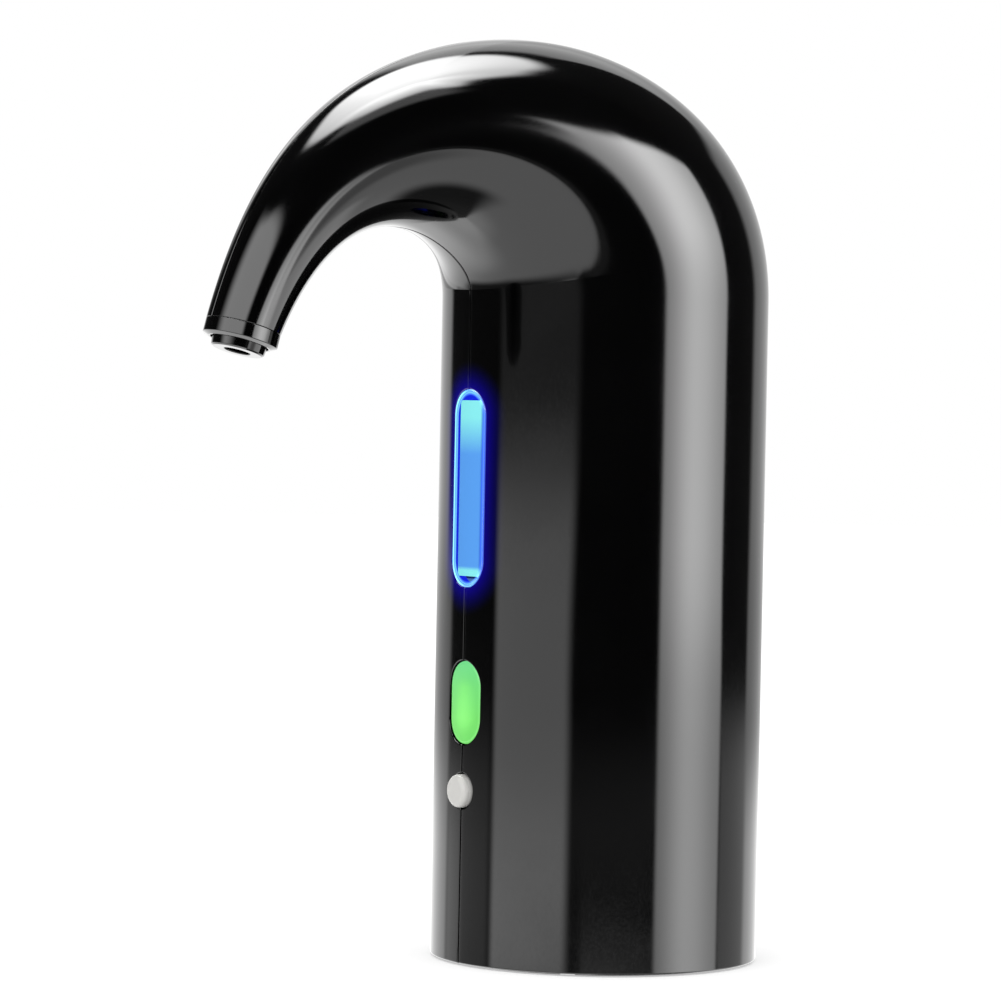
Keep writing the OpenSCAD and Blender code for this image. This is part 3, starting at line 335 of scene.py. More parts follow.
def half_shell(h, win, but, side):
    """Points, faces and normals of one half of the housing.

    Rows run up the body and along the spout, and each row is a closed outline: the front edge's rounding,
    the outer skin round to the back edge's rounding, and the inner skin back. The front edge stands off the
    mid-plane by half the seam, or by the half width of the window or a button's opening at that height, and
    the back edge by the charging port's. The seam closes at the inner skin, so no light passes. The edge's
    rounding is a quarter circle between the opening grown by an offset and the skin less a depth. At the
    front, the normals of the spout's first rows stay the body's, so that the crease where it leaves the body
    is crisp there and fades out round the side.
    """
    r, wall, seam, f = mm(h.radius, h.wall, h.seam, h.seam_edge)
    z0, z1, low = mm(h.foot, h.straight, h.lower_edge)
    port, port_half, port_radius = 55.15, 2.8, 2.0
    tip_wall, tip_edge, crease = 1.9, 0.1, 0.068
    spout_rows, skin_cols, far, hair, nick = 160, 101, 1e6, 0.002, 0.0002
    slots = [mm(*slot_of(win)), mm(*slot_of(but)), mm(but.mode_middle, 0.0, but.mode_width / 2)]
    quarter = np.linspace(0, np.pi / 2, 6)
    grow, deep = f * (1 - np.cos(quarter)), f * (1 - np.sin(quarter))

    arc = np.sin(np.linspace(0, np.pi / 2, 15))
    levels = [np.linspace(z0 + low, z1, 44)]
    for m, half, rad in slots:
        up = np.r_[half + (rad + f) * arc, half + rad, half + rad - 2 * hair]
        levels += [m + up, m - up]
    lip = np.r_[port_radius * arc[:-3], port_radius + grow - hair, port_radius + grow + hair]
    levels = np.sort(np.concatenate(levels + [port + lip, port - lip]))
    levels = levels[np.r_[True, np.diff(levels) > 5e-4]]
    foot = np.linspace(0, np.pi / 2, 7)[:-1]
    last = np.linspace(0, np.pi / 2, 5)
    t = np.linspace(0, 1, spout_rows)[1:]
    t = np.r_[t[t < 0.9975], 1 - tip_edge * (1 - np.sin(last)) / spout_rows]
    t = np.sort(np.r_[t, crease - nick, crease + nick])
    mid, e, rad = neck_frames(h, t)
    k = len(foot) + len(levels)

    z = np.r_[z0 + low * (1 - np.cos(foot)), levels, np.full(len(t), far)]
    inset = np.r_[low * (1 - np.sin(foot)), np.zeros(len(levels) + len(t))]
    inset[-len(last):] = tip_edge * (1 - np.cos(last))
    mid = np.vstack([np.c_[np.zeros(k), z[:k]], mid])
    e = np.vstack([np.tile([-1.0, 0.0], (k, 1)), e])
    rad = np.r_[np.full(k, r), rad]
    thick = np.r_[np.full(k, wall), wall + (tip_wall - wall) * t]

    front = np.stack([np.maximum.reduce([slot_width(z, *s, g) for s in slots]) for g in grow], 1)
    front = np.maximum(front, seam / 2 + grow)
    up = np.abs(z - port)[:, None]
    room = np.sqrt(np.maximum((port_radius + grow) ** 2 - up**2, 0))
    back = np.where(up < port_radius + grow, port_half + room, seam / 2 + grow)

    skin = (rad - inset)[:, None]
    fore = np.arcsin(np.minimum(front / (skin - deep), 1))
    aft = np.pi - np.arcsin(np.minimum(back / (skin - deep), 1))
    u = np.linspace(0, 1, skin_cols)[None]
    rest = np.arcsin((seam / 2 + f) / skin)
    turn = rest + (np.pi - 2 * rest) * u
    turn = turn + (fore[:, -1:] - rest) * (1 - u) ** 4 + (aft[:, -1:] - np.pi + rest) * u**4
    turn = np.hstack([fore, turn[:, 1:-1], aft[:, ::-1]])
    depth = np.r_[deep, np.zeros(skin_cols - 2), deep[::-1]][None]
    count = turn.shape[1]
    hollow = (rad - thick)[:, None]
    ends = [np.where(v[:, :1] > seam / 2 + 1e-6, v[:, :1], 0.0) for v in (front, back)]
    a, b = (np.arcsin(np.minimum(v / hollow, 1)) for v in ends)
    inner = a + (np.pi - b - a) * np.linspace(0, 1, count)[None]

    def place(mid, e, reach, turn):
        ahead = mid[:, :1] - reach * np.cos(turn) * e[:, :1]
        return np.stack([side * reach * np.sin(turn), -ahead, mid[:, 1:] - reach * np.cos(turn) * e[:, 1:]], -1)

    outside = place(mid, e, skin - depth, turn)
    points = np.concatenate([outside, place(mid, e, hollow + 0 * inner, inner[:, ::-1])], 1)

    def skin_at(t, turn):
        m, e, r = neck_frames(h, t)
        return place(m, e, r[:, None], turn)

    step = 1e-4
    flat = np.stack([side * np.sin(turn), -np.cos(turn), 0 * turn], -1)
    along = skin_at(np.minimum(t + step, 1), turn[k:]) - skin_at(np.maximum(t - step, 0), turn[k:])
    bent = unit(np.cross(skin_at(t, turn[k:] + step) - skin_at(t, turn[k:] - step), along) * side)
    hold = np.ones(turn.shape + (1,))
    hold[k:, :, 0] = (t < crease)[:, None] * ease(turn[k:], 1.5, 0.75)
    normal = flat * hold
    normal[k:] += bent * (1 - hold[k:])
    normals = np.zeros_like(points)
    own = np.s_[len(foot):1 - len(last), 5:count - 5]
    normals[own] = unit(normal[own])

    rows, cols = points.shape[:2]
    j = np.arange(count - 1)
    i = 2 * count - 1 - j
    end = (rows - 1) * cols
    faces = np.vstack([
        grid_faces(rows, cols, False, True),
        np.stack([j, i, i - 1, j + 1], 1),
        end + np.stack([j, j + 1, i - 1, i], 1),
    ])
    points, normals = points.reshape(-1, 3), normals.reshape(-1, 3)

    screw, boss, peg, diagonal = 1.25, 2.9, 2.4, 26.4 * 0.70711
    fixings = []
    for sign in (-1, 1):
        pts, quads = sleeve(screw, boss, 2.45, 15.4)
        fixings.append((pts + [diagonal * side, diagonal * sign, 0], quads))
    for height in (70.0, 118.0):
        pts, quads = sleeve(screw, peg, 0.1, 15.2)
        fixings.append((np.stack([side * pts[:, 2], 24 + pts[:, 0], height + pts[:, 1]], 1), quads))
    for pts, quads in fixings:
        faces = np.vstack([faces, quads[:, ::side] + len(points)])
        points = np.vstack([points, pts])
        normals = np.vstack([normals, np.zeros_like(pts)])
    return points, faces[:, ::side], normals


class DISPENSER_OT_housing(bpy.types.Operator):
    """Builds the two glossy half shells that meet on the mid-plane"""

    bl_idname = "dispenser.housing"
    bl_label = "Housing"

    def execute(self, context):
        s = context.scene
        gloss = gloss_black(s.dispenser_window)
        for side, name in ((1, "shell_right"), (-1, "shell_left")):
            shell = half_shell(s.dispenser_housing, s.dispenser_window, s.dispenser_buttons, side)
            settle(add_piece("housing_" + name, *shell), "housing", "gloss_black", gloss, name)
        return {"FINISHED"}


class DISPENSER_OT_nozzle(bpy.types.Operator):
    """Turns the nozzle's end ring and the outlet inside it"""

    bl_idname = "dispenser.nozzle"
    bl_label = "Nozzle"

    def execute(self, context):
        h = context.scene.dispenser_housing
        gloss = bpy.data.materials["polished_black"]
        n, top, reach, height = mm(h.nozzle_radius, h.ring, h.reach, h.tip_height)
        ring = rounded([
            (n - 1.5, 0.0, 0.1), (n - 1.1, 0.0, 0.12), (n, 0.45, 0.15), (n, top - 0.03, 0.08),
            (n - 2.3, top - 0.03, 0.05), (n - 2.3, top + 1.8, 0.1), (n - 3.0, top + 1.8, 0.1),
            (n - 3.0, top - 0.8, 0.05), (n - 1.5, top - 0.8, 0.05),
        ])
        outlet = rounded([
            (2.4, -1.6, 0.2), (n - 2.35, -1.6, 0.2), (n - 2.0, -1.35, 0.1), (n - 1.8, 0.2, 0.1),
            (n - 1.8, 1.0, 0.03), (n - 1.55, 1.0, 0.05), (n - 1.55, top - 0.85, 0.05),
            (n - 3.05, top - 0.85, 0.05), (n - 3.05, top + 1.4, 0.1), (1.9, top + 1.4, 0.1),
            (1.9, top + 7.0, 0.2), (1.2, top + 7.0, 0.2), (1.2, 1.4, 0.1), (2.4, 1.4, 0.1),
        ])
        for name, profile in (("nozzle_ring", ring), ("outlet_tip", outlet)):
            points, faces = lathe(profile)
            x, y, z = points.T
            ahead, up = np.outer(TIP_E, y) + np.outer(TIP_U, z)
            points = np.stack([x, -ahead - reach, up + height], 1)
            settle(add_piece("spout_" + name, points, faces), "housing", "gloss_black", gloss, name)
        return {"FINISHED"}


class DISPENSER_OT_window(bpy.types.Operator):
    """Moulds the clear lens with a painted glow in its edge and inner walls, and paints light into the sight tube
    behind it
    """

    bl_idname = "dispenser.window"
    bl_label = "Window"

    def execute(self, context):
        s = context.scene
        win, r = s.dispenser_window, s.dispenser_housing.radius / MM
        middle, half, opening = mm(*slot_of(win))
        w, f, wall, flange = opening - 0.12, 0.22, 0.5, 1.6
        q = np.linspace(0, np.pi / 2, 6)
        profile = np.vstack([
            np.c_[np.r_[0, 1.2, 2.4, 3.2, 3.7, 4.0, 4.2, 4.4, 4.6], np.zeros(9)],
            np.c_[w - f + f * np.sin(q), f - f * np.cos(q)],
            [[w, 1.0], [w, 2.3], [w + flange, 2.3], [w + flange, 3.4], [w - wall, 3.4]],
            [[w - wall, 2.6], [w - wall, 1.8], [w - wall, 1.2], [w - wall, 0.9], [w - 1.1, 0.9], [0, 0.9]],
        ])
        points, faces, (reach, depth) = slot_lathe(profile, half, middle, r)
        one, two = profile[1:, 1], profile[:-1, 1]
        frosted = (np.minimum(one, two) > 0.85) & (one + two > 1.85)
        # Painted light: the lens's edge and the walls behind it glow by colours painted at their points, the edge
        # pale at the left and towards its ends, blue to the right, the walls deep blue
        x, up = points[:, 0], np.abs(points[:, 2] - middle) / 18.4
        rim = (np.clip((reach - (w - 0.7)) / 0.25, 0, 1) * (depth < 1.05))[:, None]
        side = np.clip(0.5 - x / 9, 0, 1)[:, None]
        pale = np.array(win.rim_light) * (1 - (1 - side) * [0.8, 0.85, 0.25])
        pale *= 1 - (1 - up[:, None] ** 2) * side * [0.42, 0.56, 0.0]
        deep = np.array(win.well_light) * np.where(depth > 0.95, 1.0, 0.0)[:, None]
        glow = rim * pale + (1 - rim) * deep
        finish = np.tile(frosted, len(points) // len(profile))
        lens = add_piece("window_clear_lens", points, faces, None, glow, finish, True)
        clear = lit(
            "clear_lens", (0.97, 0.985, 1.0), (90.0, 1500.0), (0.01, 0.035),
            IOR=1.49, Transmission_Weight=1.0, Specular_IOR_Level=0.2,
        )
        frost = lit("frosted_wall", (0.004, 0.008, 0.03), (240.0, 2600.0), (0.4, 0.55), Specular_IOR_Level=0.0)
        settle(lens, "housing", "clear", (clear, frost), "window_lens")
        lens.visible_glossy = False
        for part in frame["record"]["subparts"]:
            if part["material_slot"] in ("sight_clear", "blue_led", "green_led", "board_white"):
                frame["nodes"][part["node"]].visible_glossy = False
        paint("sight_tube", sight_tube(win))
        return {"FINISHED"}


class DISPENSER_OT_buttons(bpy.types.Operator):
    """Moulds the dispense button with its painted glow, and the small round mode button"""

    bl_idname = "dispenser.buttons"
    bl_label = "Buttons"

    def execute(self, context):
        s = context.scene
        but, r = s.dispenser_buttons, s.dispenser_housing.radius / MM
        stem_radius, stem_end = 2.0, 26.15
        middle, half, opening = mm(*slot_of(but))
        w, f, sunk, flange = opening - 0.15, 0.55, 0.2, 1.35
        q = np.linspace(0, np.pi / 2, 7)
        profile = np.vstack([
            np.c_[np.r_[0, 1.0, 2.0, 2.8, 3.4, 3.9], np.full(6, sunk)],
            np.c_[w - f + f * np.sin(q), sunk + f - f * np.cos(q)],
            [[w, 2.55], [w + flange, 2.55], [w + flange, 3.6], [0, 3.6]],
        ])
        points, faces, (reach, depth) = slot_lathe(profile, half, middle, r)
        # Painted light: the dispense button glows by colours painted at its points, brightest in a core just below
        # its middle and bluer towards the top
        z = (points[:, 2] - middle) / 7.9
        core = ease(np.hypot(points[:, 0] / 3.6, (z + 0.12) / 0.62), 1.25, 0.25)[:, None]
        dim = np.array([0.105, 0.50, 0.085]) + np.clip(z, 0, 1)[:, None] * [-0.02, -0.03, 0.11]
        glow = dim + core * (np.array(but.light) - dim)
        # Painted highlight: a brighter band on the rounding of the opening's edge
        glow += np.clip((reach - w + f) / f, 0, 1)[:, None] * (depth[:, None] < 1) * [0.06, 0.14, 0.05]
        stem, quads = sleeve(0.0, stem_radius, 27.2, stem_end)
        stem = np.stack([stem[:, 0], -stem[:, 2], stem[:, 1] + middle], 1)
        faces = np.vstack([faces, quads[:, ::-1] + len(points)])
        # Faint painted green glow on the stem
        glow = np.vstack([glow, np.tile([0.02, 0.1, 0.02], (len(stem), 1))])
        cap = add_piece("button_dispense", np.vstack([points, stem]), faces, colours=glow, weld=True)
        green = lit("lit_green", but.green, (220.0, 1500.0), (0.32, 0.45), 0.85)
        settle(cap, "dispense", "button_green", green, "dispense_button")

        height, opening = mm(but.mode_middle, but.mode_width / 2)
        m, flange = opening - 0.28, 1.2
        profile = rounded([
            (0.0, stem_end, 0.0), (stem_radius, stem_end, 0.1), (stem_radius, 26.9, 0.05),
            (m + flange, 26.9, 0.05), (m + flange, 27.9, 0.1), (m, 27.9, 0.05), (m, 32.55, 1.15), (0.0, 32.7, 0.0),
        ], 8)
        points, faces = lathe(profile, 72)
        points = np.stack([points[:, 0], -points[:, 2], points[:, 1] + height], 1)
        knob = add_piece("button_mode", points, faces[:, ::-1], weld=True)
        grey = moulded("satin_grey", but.grey, 0.42, 0.1, 260.0, 5200.0, 0.12, 0.95)
        settle(knob, "mode", "button_grey", grey, "mode_button")
        cap.visible_glossy = knob.visible_glossy = False
        return {"FINISHED"}


class DISPENSER_OT_hoses(bpy.types.Operator):
    """Runs the wine and air hoses inside the housing"""

    bl_idname = "dispenser.hoses"
    bl_label = "Hoses"

    def execute(self, context):
        h = context.scene.dispenser_housing
        rubber, bore, barb = milky_hose(), 2.05, 53.7
        tip = np.array([h.reach, h.tip_height]) / MM
        air = np.c_[np.zeros(9), np.full(9, 7.2), np.linspace(barb, 65.7, 9)]
        bend = np.radians(np.linspace(9, 90, 14))
        rise = np.c_[np.zeros(6), np.full(6, -10.0), np.linspace(barb, 67.5, 6)]
        turn = np.c_[np.zeros(14), -18 + 8 * np.cos(bend), 67.5 + 8 * np.sin(bend)]
        lower = np.vstack([rise, turn, [[0, -20.45, 75.5]]])
        y, z0 = 24.275, 106.0
        end = tip + 11 * TIP_U
        handles = [[y, z0 + 6], [y, z0 + 28], [y + 0.5, 165], [tip[0] - 20, 161], end + 20 * TIP_U, end]
        over = bezier(np.array(handles), np.linspace(0, 1, 90))
        over = np.vstack([[[y, z0], [y, z0 + 3]], over, [tip + 8 * TIP_U, tip + 5.3 * TIP_U]])
        upper = np.c_[np.zeros(len(over)), -over[:, 0], over[:, 1]]
        hoses = ("air_hose", air, 3.1), ("wine_hose_lower", lower, 2.8), ("wine_hose_upper", upper, 2.8)
        for name, path, r in hoses:
            settle(add_piece("soft_" + name, *tube(path, r, bore, 36)), "housing", "silicone", rubber, name)
        return {"FINISHED"}


class DISPENSER_OT_leads(bpy.types.Operator):
    """Runs the pairs of leads between the boards, the cell and the motor"""

    bl_idname = "dispenser.leads"
    bl_label = "Leads"

    def execute(self, context):
        arc = np.radians(np.arange(52, -41, -23))
        power, motor, t = [], [], 123.5
        for i in (0, 1):
            q, z = 24.8 + 0.9 * i, 52.35 + 1.1 * i
            start = [[7.2, 21.6 + 1.8 * i, 54.1], [9.0, 21.8 + 1.8 * i, 54.1]]
            side = np.c_[q * np.cos(arc), q * np.sin(arc), np.full(len(arc), z)].tolist()
            end = [[13.8 + 0.6 * i, -17.2 - 0.4 * i, z + 1 + 0.3 * i], [8.5, -19.15, z + 1.4 + 0.6 * i]]
            power.append(start + side + end)
            start = [[-6.95, 7.2, t - 2], [-7.4, 7.2, t + 1]]
            if i:
                start = [[6.95, 7.2, t], [6.6, 8.2, t + 3.6], [0, 9.2, t + 6]]
            x = -20.2 - 1.6 * i
            motor.append(start + [
                [-13, 6.2 - 1.8 * i, t - 0.5 + 3 * i], [x + 2.2, 4, t - 8], [x, 3, 102], [x, 2, 80],
                [x - 0.2, -1, 62], [-19 - 1.5 * i, -10 - 0.4 * i, 55.85 + 0.4 * i],
                [-14 - 0.4 * i, -17.2 - 0.2 * i, 53.85 + 1.6 * i], [-8.5, -19.15, 53.25 + 1.7 * i],
            ])
        cell = [[[x, 22.7, z] for z in (39.75, 44.0, 48.0, 52.2)] for x in (-2.0, 2.0)]
        lamps = [[[x, -19.9, 82], [x, -19.9, 77], [x, -19.0, 64], [x, -19.15, 54]] for x in (-4.6, 4.6)]
        red = "lead_red", lead_skin("lead_red_skin", (0.45, 0.02, 0.02))
        dark = "lead_dark", lead_skin("lead_dark_skin", (0.03, 0.03, 0.045))
        for name, pair, (slot, skin) in (
            ("battery_leads", cell, red), ("power_leads", power, red),
            ("led_leads", lamps, dark), ("motor_leads", motor, dark),
        ):
            points, faces = zip(*(tube(through(p), 0.6, steps=14) for p in pair))
            faces = np.vstack([faces[0], faces[1] + len(points[0])])
            obj = add_piece("wired_" + name, np.vstack(points), faces, weld=True)
            settle(obj, "housing", slot, skin, name)
        return {"FINISHED"}


# Finishes

NOISE = (0.3, 0.7)  # the range that holds most of a noise's values


def shader(name):
    """A new material with its node tree and shader."""
    material = bpy.data.materials.new(name)
    material.use_nodes = True
    return material, material.node_tree, material.node_tree.nodes["Principled BSDF"]


def give(tree, socket, value):
    """Links a socket to an input, or sets the input's value."""
    if isinstance(value, bpy.types.NodeSocket):
        tree.links.new(value, socket)
    else:
        socket.default_value = (*value, 1.0) if socket.type == "RGBA" else value


def feed(tree, node, **values):
    """A node with its inputs linked or set by name."""
    for key, value in values.items():
        give(tree, node.inputs[key.replace("_", " ")], value)
    return node


def put(tree, kind, **values):
    """A new node of a kind, with its inputs linked or set by name."""
    return feed(tree, tree.nodes.new(kind), **values)


def maths(tree, operation, *values, clamp=False):
    """A math node on sockets or numbers."""
    node = put(tree, "ShaderNodeMath")
    node.operation, node.use_clamp = operation, clamp
    for socket, value in zip(node.inputs, values):
        give(tree, socket, value)
    return node.outputs[0]


def blend_colours(tree, factor, one, two):
    """A colour between two, by a factor socket."""
    node = put(tree, "ShaderNodeMix")
    node.data_type = "RGBA"
    for i, value in ((0, factor), (6, one), (7, two)):
        give(tree, node.inputs[i], value)
    return node.outputs[2]


def shaded(tree, factor, shade, colour):
    """A colour that is darkened by a shade where the factor is low."""
    return blend_colours(tree, factor, [c * shade for c in colour], colour)


def spread(tree, value, low, high, start=0.0, end=1.0):
    """A value moved from the range start to end into the range low to high."""
    node = put(tree, "ShaderNodeMapRange", From_Min=start, From_Max=end, To_Min=low, To_Max=high, Value=value)
    return node.outputs[0]


def local(tree):
    """The point in the object's own coordinates."""
    return put(tree, "ShaderNodeTexCoord").outputs["Object"]


def local_axes(tree):
    """The three coordinates of the point in the object."""
    return put(tree, "ShaderNodeSeparateXYZ", Vector=local(tree)).outputs[:3]


def own_glow(tree):
    """The glow that a piece keeps as colour at each of its points: painted light on the lens and the dispense
    button, the boxes' light on the dome.
    """
    node = put(tree, "ShaderNodeAttribute")
    node.attribute_name = "glow"
    return node.outputs["Color"]


def pressed(tree, height, strength, distance):
    """A normal that follows a height."""
    return put(tree, "ShaderNodeBump", Height=height, Strength=strength, Distance=distance).outputs[0]


def group(name, inputs, outputs):
    """A new node group with the sockets of its two ends, from dictionaries of each socket's name and kind."""
    tree = bpy.data.node_groups.new(name, "ShaderNodeTree")
    for way, sockets in (("INPUT", inputs), ("OUTPUT", outputs)):
        for socket, kind in sockets.items():
            tree.interface.new_socket(socket, in_out=way, socket_type="NodeSocket" + kind)
    return tree, put(tree, "NodeGroupInput").outputs, put(tree, "NodeGroupOutput").inputs


def surface_variation():
    """Node group with soft patches and fine grain over the surface, from Object coordinates."""
    scales = {"Patch Scale": "Float", "Grain Scale": "Float"}
    tree, enter, leave = group("surface_variation", scales, {"Patch": "Float", "Grain": "Float"})
    for i, detail in enumerate((3.0, 1.0)):
        noise = put(tree, "ShaderNodeTexNoise", Vector=local(tree), Scale=enter[i], Detail=detail)
        tree.links.new(noise.outputs[0], leave[i])
    return tree


def turned_lines():
    """Node group with the fine lines of turning or rolling, as bands along Z in the object."""
    tree, enter, leave = group("turned_lines", {"Lines": "Float"}, {"Height": "Float"})
    bands = put(tree, "ShaderNodeTexWave", Vector=local(tree), Distortion=1.5, Detail=2.0, Detail_Scale=1.4)
    bands.bands_direction = "Z"
    tree.links.new(enter[0], bands.inputs["Scale"])
    tree.links.new(bands.outputs["Fac"], leave[0])
    return tree


def board_tracks():
    """Node group with a board's solder mask in two tones, and the tracks that show through it as mortar."""
    tones = {"Mask": "Color", "Dim Mask": "Color", "Copper": "Color"}
    tree, (mask, dim, copper, _), leave = group("board_tracks", tones, {"Color": "Color"})
    upright = (math.radians(90), 0.0, math.radians(90))
    turn = put(tree, "ShaderNodeMapping", Vector=local(tree), Rotation=upright)
    brick = put(
        tree, "ShaderNodeTexBrick", Vector=turn.outputs[0], Scale=320.0, Mortar_Size=0.045,
        Color1=mask, Color2=dim, Mortar=copper,
    )
    tree.links.new(brick.outputs["Color"], leave[0])
    return tree


def use(tree, build, **values):
    """The outputs of a node group that is built once and placed in a material with its own values."""
    node = put(tree, "ShaderNodeGroup")
    node.node_tree = bpy.data.node_groups.get(build.__name__) or build()
    return feed(tree, node, **values).outputs


def vary(tree, patch, grain):
    """Soft patches and fine grain at two scales."""
    return use(tree, surface_variation, Patch_Scale=patch, Grain_Scale=grain)[:2]


def slot_glow(tree, middle, half, radius):
    """Painted glow: the window's light painted as emission on the body round an upright slot at its front.

    It is one at the slot's edge and falls with a power of the distance that is left of its reach.
    """
    reach, power, front = 0.0055, 2.2, -0.02
    x, y, z = local_axes(tree)
    up = maths(tree, "ABSOLUTE", maths(tree, "SUBTRACT", z, middle))
    up = maths(tree, "MAXIMUM", maths(tree, "SUBTRACT", up, half), 0.0)
    away = maths(tree, "ADD", maths(tree, "POWER", x, 2.0), maths(tree, "POWER", up, 2.0))
    away = maths(tree, "SUBTRACT", maths(tree, "SQRT", away), radius)
    left = maths(tree, "SUBTRACT", 1.0, maths(tree, "DIVIDE", away, reach), clamp=True)
    return maths(tree, "MULTIPLY", maths(tree, "POWER", left, power), maths(tree, "LESS_THAN", y, front))


def surface(name, patch, grain, look):
    """A new material whose shader is fed with what look gives for its tree, soft patches and fine grain."""
    material, tree, bsdf = shader(name)
    feed(tree, bsdf, **look(tree, *vary(tree, patch, grain)))
    return material


def moulded(name, colour, rough, drift, patch, grain, bump, shade=0.8, **values):
    """A finish whose colour and roughness drift in patches, with a fine moulded grain."""
    return surface(name, patch, grain, lambda tree, soft, fine: dict(
        Base_Color=shaded(tree, soft, shade, colour), Normal=pressed(tree, fine, bump, 0.00008),
        Roughness=spread(tree, soft, rough - drift / 2, rough + drift / 2, *NOISE), **values,
    ))


def gloss_black(win):
    """Polished black plastic, with the window's light painted as a glow a little over its edge."""
    material, tree, bsdf = shader("polished_black")
    patch, grain = vary(tree, 55.0, 1800.0)
    mirrored = put(tree, "ShaderNodeLightPath").outputs["Is Glossy Ray"]
    # Painted glow round the window, left out of reflections
    seen = maths(tree, "MULTIPLY", slot_glow(tree, *slot_of(win)), maths(tree, "SUBTRACT", 1.0, mirrored))
    rough, fine = spread(tree, patch, 0.05, 0.085, *NOISE), spread(tree, grain, 0.0, 0.02, 0.4, 0.75)
    feed(
        tree, bsdf, IOR=1.5, Roughness=maths(tree, "ADD", rough, fine),
        Base_Color=blend_colours(tree, patch, (0.0003, 0.0003, 0.0004), (0.0008, 0.0008, 0.0009)),
        Emission_Color=blend_colours(tree, seen, (0.0, 0.0, 0.0), (0.003, 0.0, 0.23)), Emission_Strength=1.0,
    )
    return material


def lit(name, colour, scales, rough, shade=None, **values):
    """Plastic with a painted glow kept as colour at its points, drifting roughness and, with a shade, colour."""
    return surface(name, *scales, lambda tree, soft, _: dict(
        Base_Color=shaded(tree, soft, shade, colour) if shade else colour, Emission_Strength=1.0,
        Emission_Color=own_glow(tree), Roughness=spread(tree, soft, *rough, *NOISE), **values,
    ))


def sight_tube(win):
    """Clear block with painted light: pale at its two ends, blue between, and deep blue at its shoulder and sides.
    """
    material, tree, bsdf = shader("sight_light")
    x, y, z = local_axes(tree)
    patch, _ = vary(tree, 300.0, 900.0)

    def ramp(low, high, *stops):
        node = put(tree, "ShaderNodeValToRGB", Fac=spread(tree, z, 0.0, 1.0, low * MM, high * MM))
        bar = node.color_ramp
        for i, (at, colour) in enumerate(stops):
            stop = bar.elements[i] if i < 2 else bar.elements.new(1.0)
            stop.position, stop.color = (at - low) / (high - low), (*colour, 1.0)
        return node.outputs[0]

    # Painted light: the tube glows by emission coloured by height and side, though it is no lamp
    body, end = tuple(win.strip_light), tuple(win.strip_end)
    soft = tuple(0.4 * a + 0.6 * b for a, b in zip(body, end))
    deep, navy, teal, dusk = tuple(win.well_light), (0.0, 0.0, 0.09), (0.075, 0.18, 0.48), (0.03, 0.10, 0.74)
    strip = ramp(72.0, 106.0, (72.0, end), (73.9, end), (74.6, body), (95.6, body), (99.6, soft), (102.4, end))
    strip = blend_colours(tree, spread(tree, x, 0.0, 1.0, 0.0029, 0.0036), strip, dusk)
    shoulder = ramp(70.0, 76.0, (70.0, teal), (72.2, teal), (72.45, navy), (72.9, navy), (73.4, deep))
    side = spread(tree, y, 0.0, 1.0, -0.0295, -0.0288)
    feed(
        tree, bsdf, Base_Color=(0.004, 0.012, 0.04), Roughness=spread(tree, patch, 0.2, 0.32, *NOISE),
        Specular_IOR_Level=0.0, Emission_Color=blend_colours(tree, side, strip, shoulder), Emission_Strength=1.0,
    )
    return material


def milky_hose():
    """Milky soft hose."""
    return moulded(
        "milky_hose", (0.74, 0.75, 0.73), 0.38, 0.12, 120.0, 1800.0, 0.1, 0.92,
        Subsurface_Weight=0.25, Subsurface_Radius=(0.004, 0.004, 0.0035),
    )


def lead_skin(name, colour):
    """Soft plastic skin of a lead."""
    return moulded(name, colour, 0.42, 0.1, 300.0, 2600.0, 0.08)


def turned_steel(name, colour, rough, lines, bump):
    """Metal with fine lines from turning or rolling."""
    return surface(name, 140.0, 3000.0, lambda tree, soft, fine: dict(
        Metallic=1.0, Base_Color=shaded(tree, soft, 0.78, colour),
        Normal=pressed(tree, use(tree, turned_lines, Lines=lines)[0], bump, 0.00005),
        Roughness=spread(tree, fine, rough - 0.06, rough + 0.08, *NOISE),
    ))


def printed_board(name, mask, copper):
    """Circuit board: a solder mask with paler tracks that show through it."""
    dim = [c * 0.9 for c in mask]
    return surface(name, 200.0, 2400.0, lambda tree, soft, _: dict(
        Base_Color=use(tree, board_tracks, Mask=mask, Dim_Mask=dim, Copper=copper)[0],
        Roughness=spread(tree, soft, 0.28, 0.42, *NOISE),
    ))


def wound_copper():
    """Enamelled copper wire, as close turns."""
    material, tree, bsdf = shader("wound_copper")
    wire = put(tree, "ShaderNodeTexWave", Vector=local(tree), Scale=520.0, Distortion=0.6, Detail=1.0)
    wire.bands_direction = "DIAGONAL"
    turns = wire.outputs["Fac"]
    feed(
        tree, bsdf, Metallic=0.85, Roughness=spread(tree, turns, 0.42, 0.26),
        Base_Color=blend_colours(tree, turns, (0.30, 0.09, 0.03), (0.72, 0.30, 0.12)),
        Normal=pressed(tree, turns, 0.7, 0.00012),
    )
    return material


def small_light(name, colour):
    """Small lamp whose light drifts in soft patches."""
    return surface(name, 600.0, 3000.0, lambda tree, soft, _: dict(
        Base_Color=(0.7, 0.7, 0.6), Emission_Color=shaded(tree, soft, 0.7, colour), Emission_Strength=1.0
    ))


def paint(node, material):
    """Puts a finish in every material slot of a CAD node."""
    obj = frame["nodes"][node]
    if not obj.material_slots:
        obj.data.materials.append(material)
    for slot in obj.material_slots:
        slot.material = material


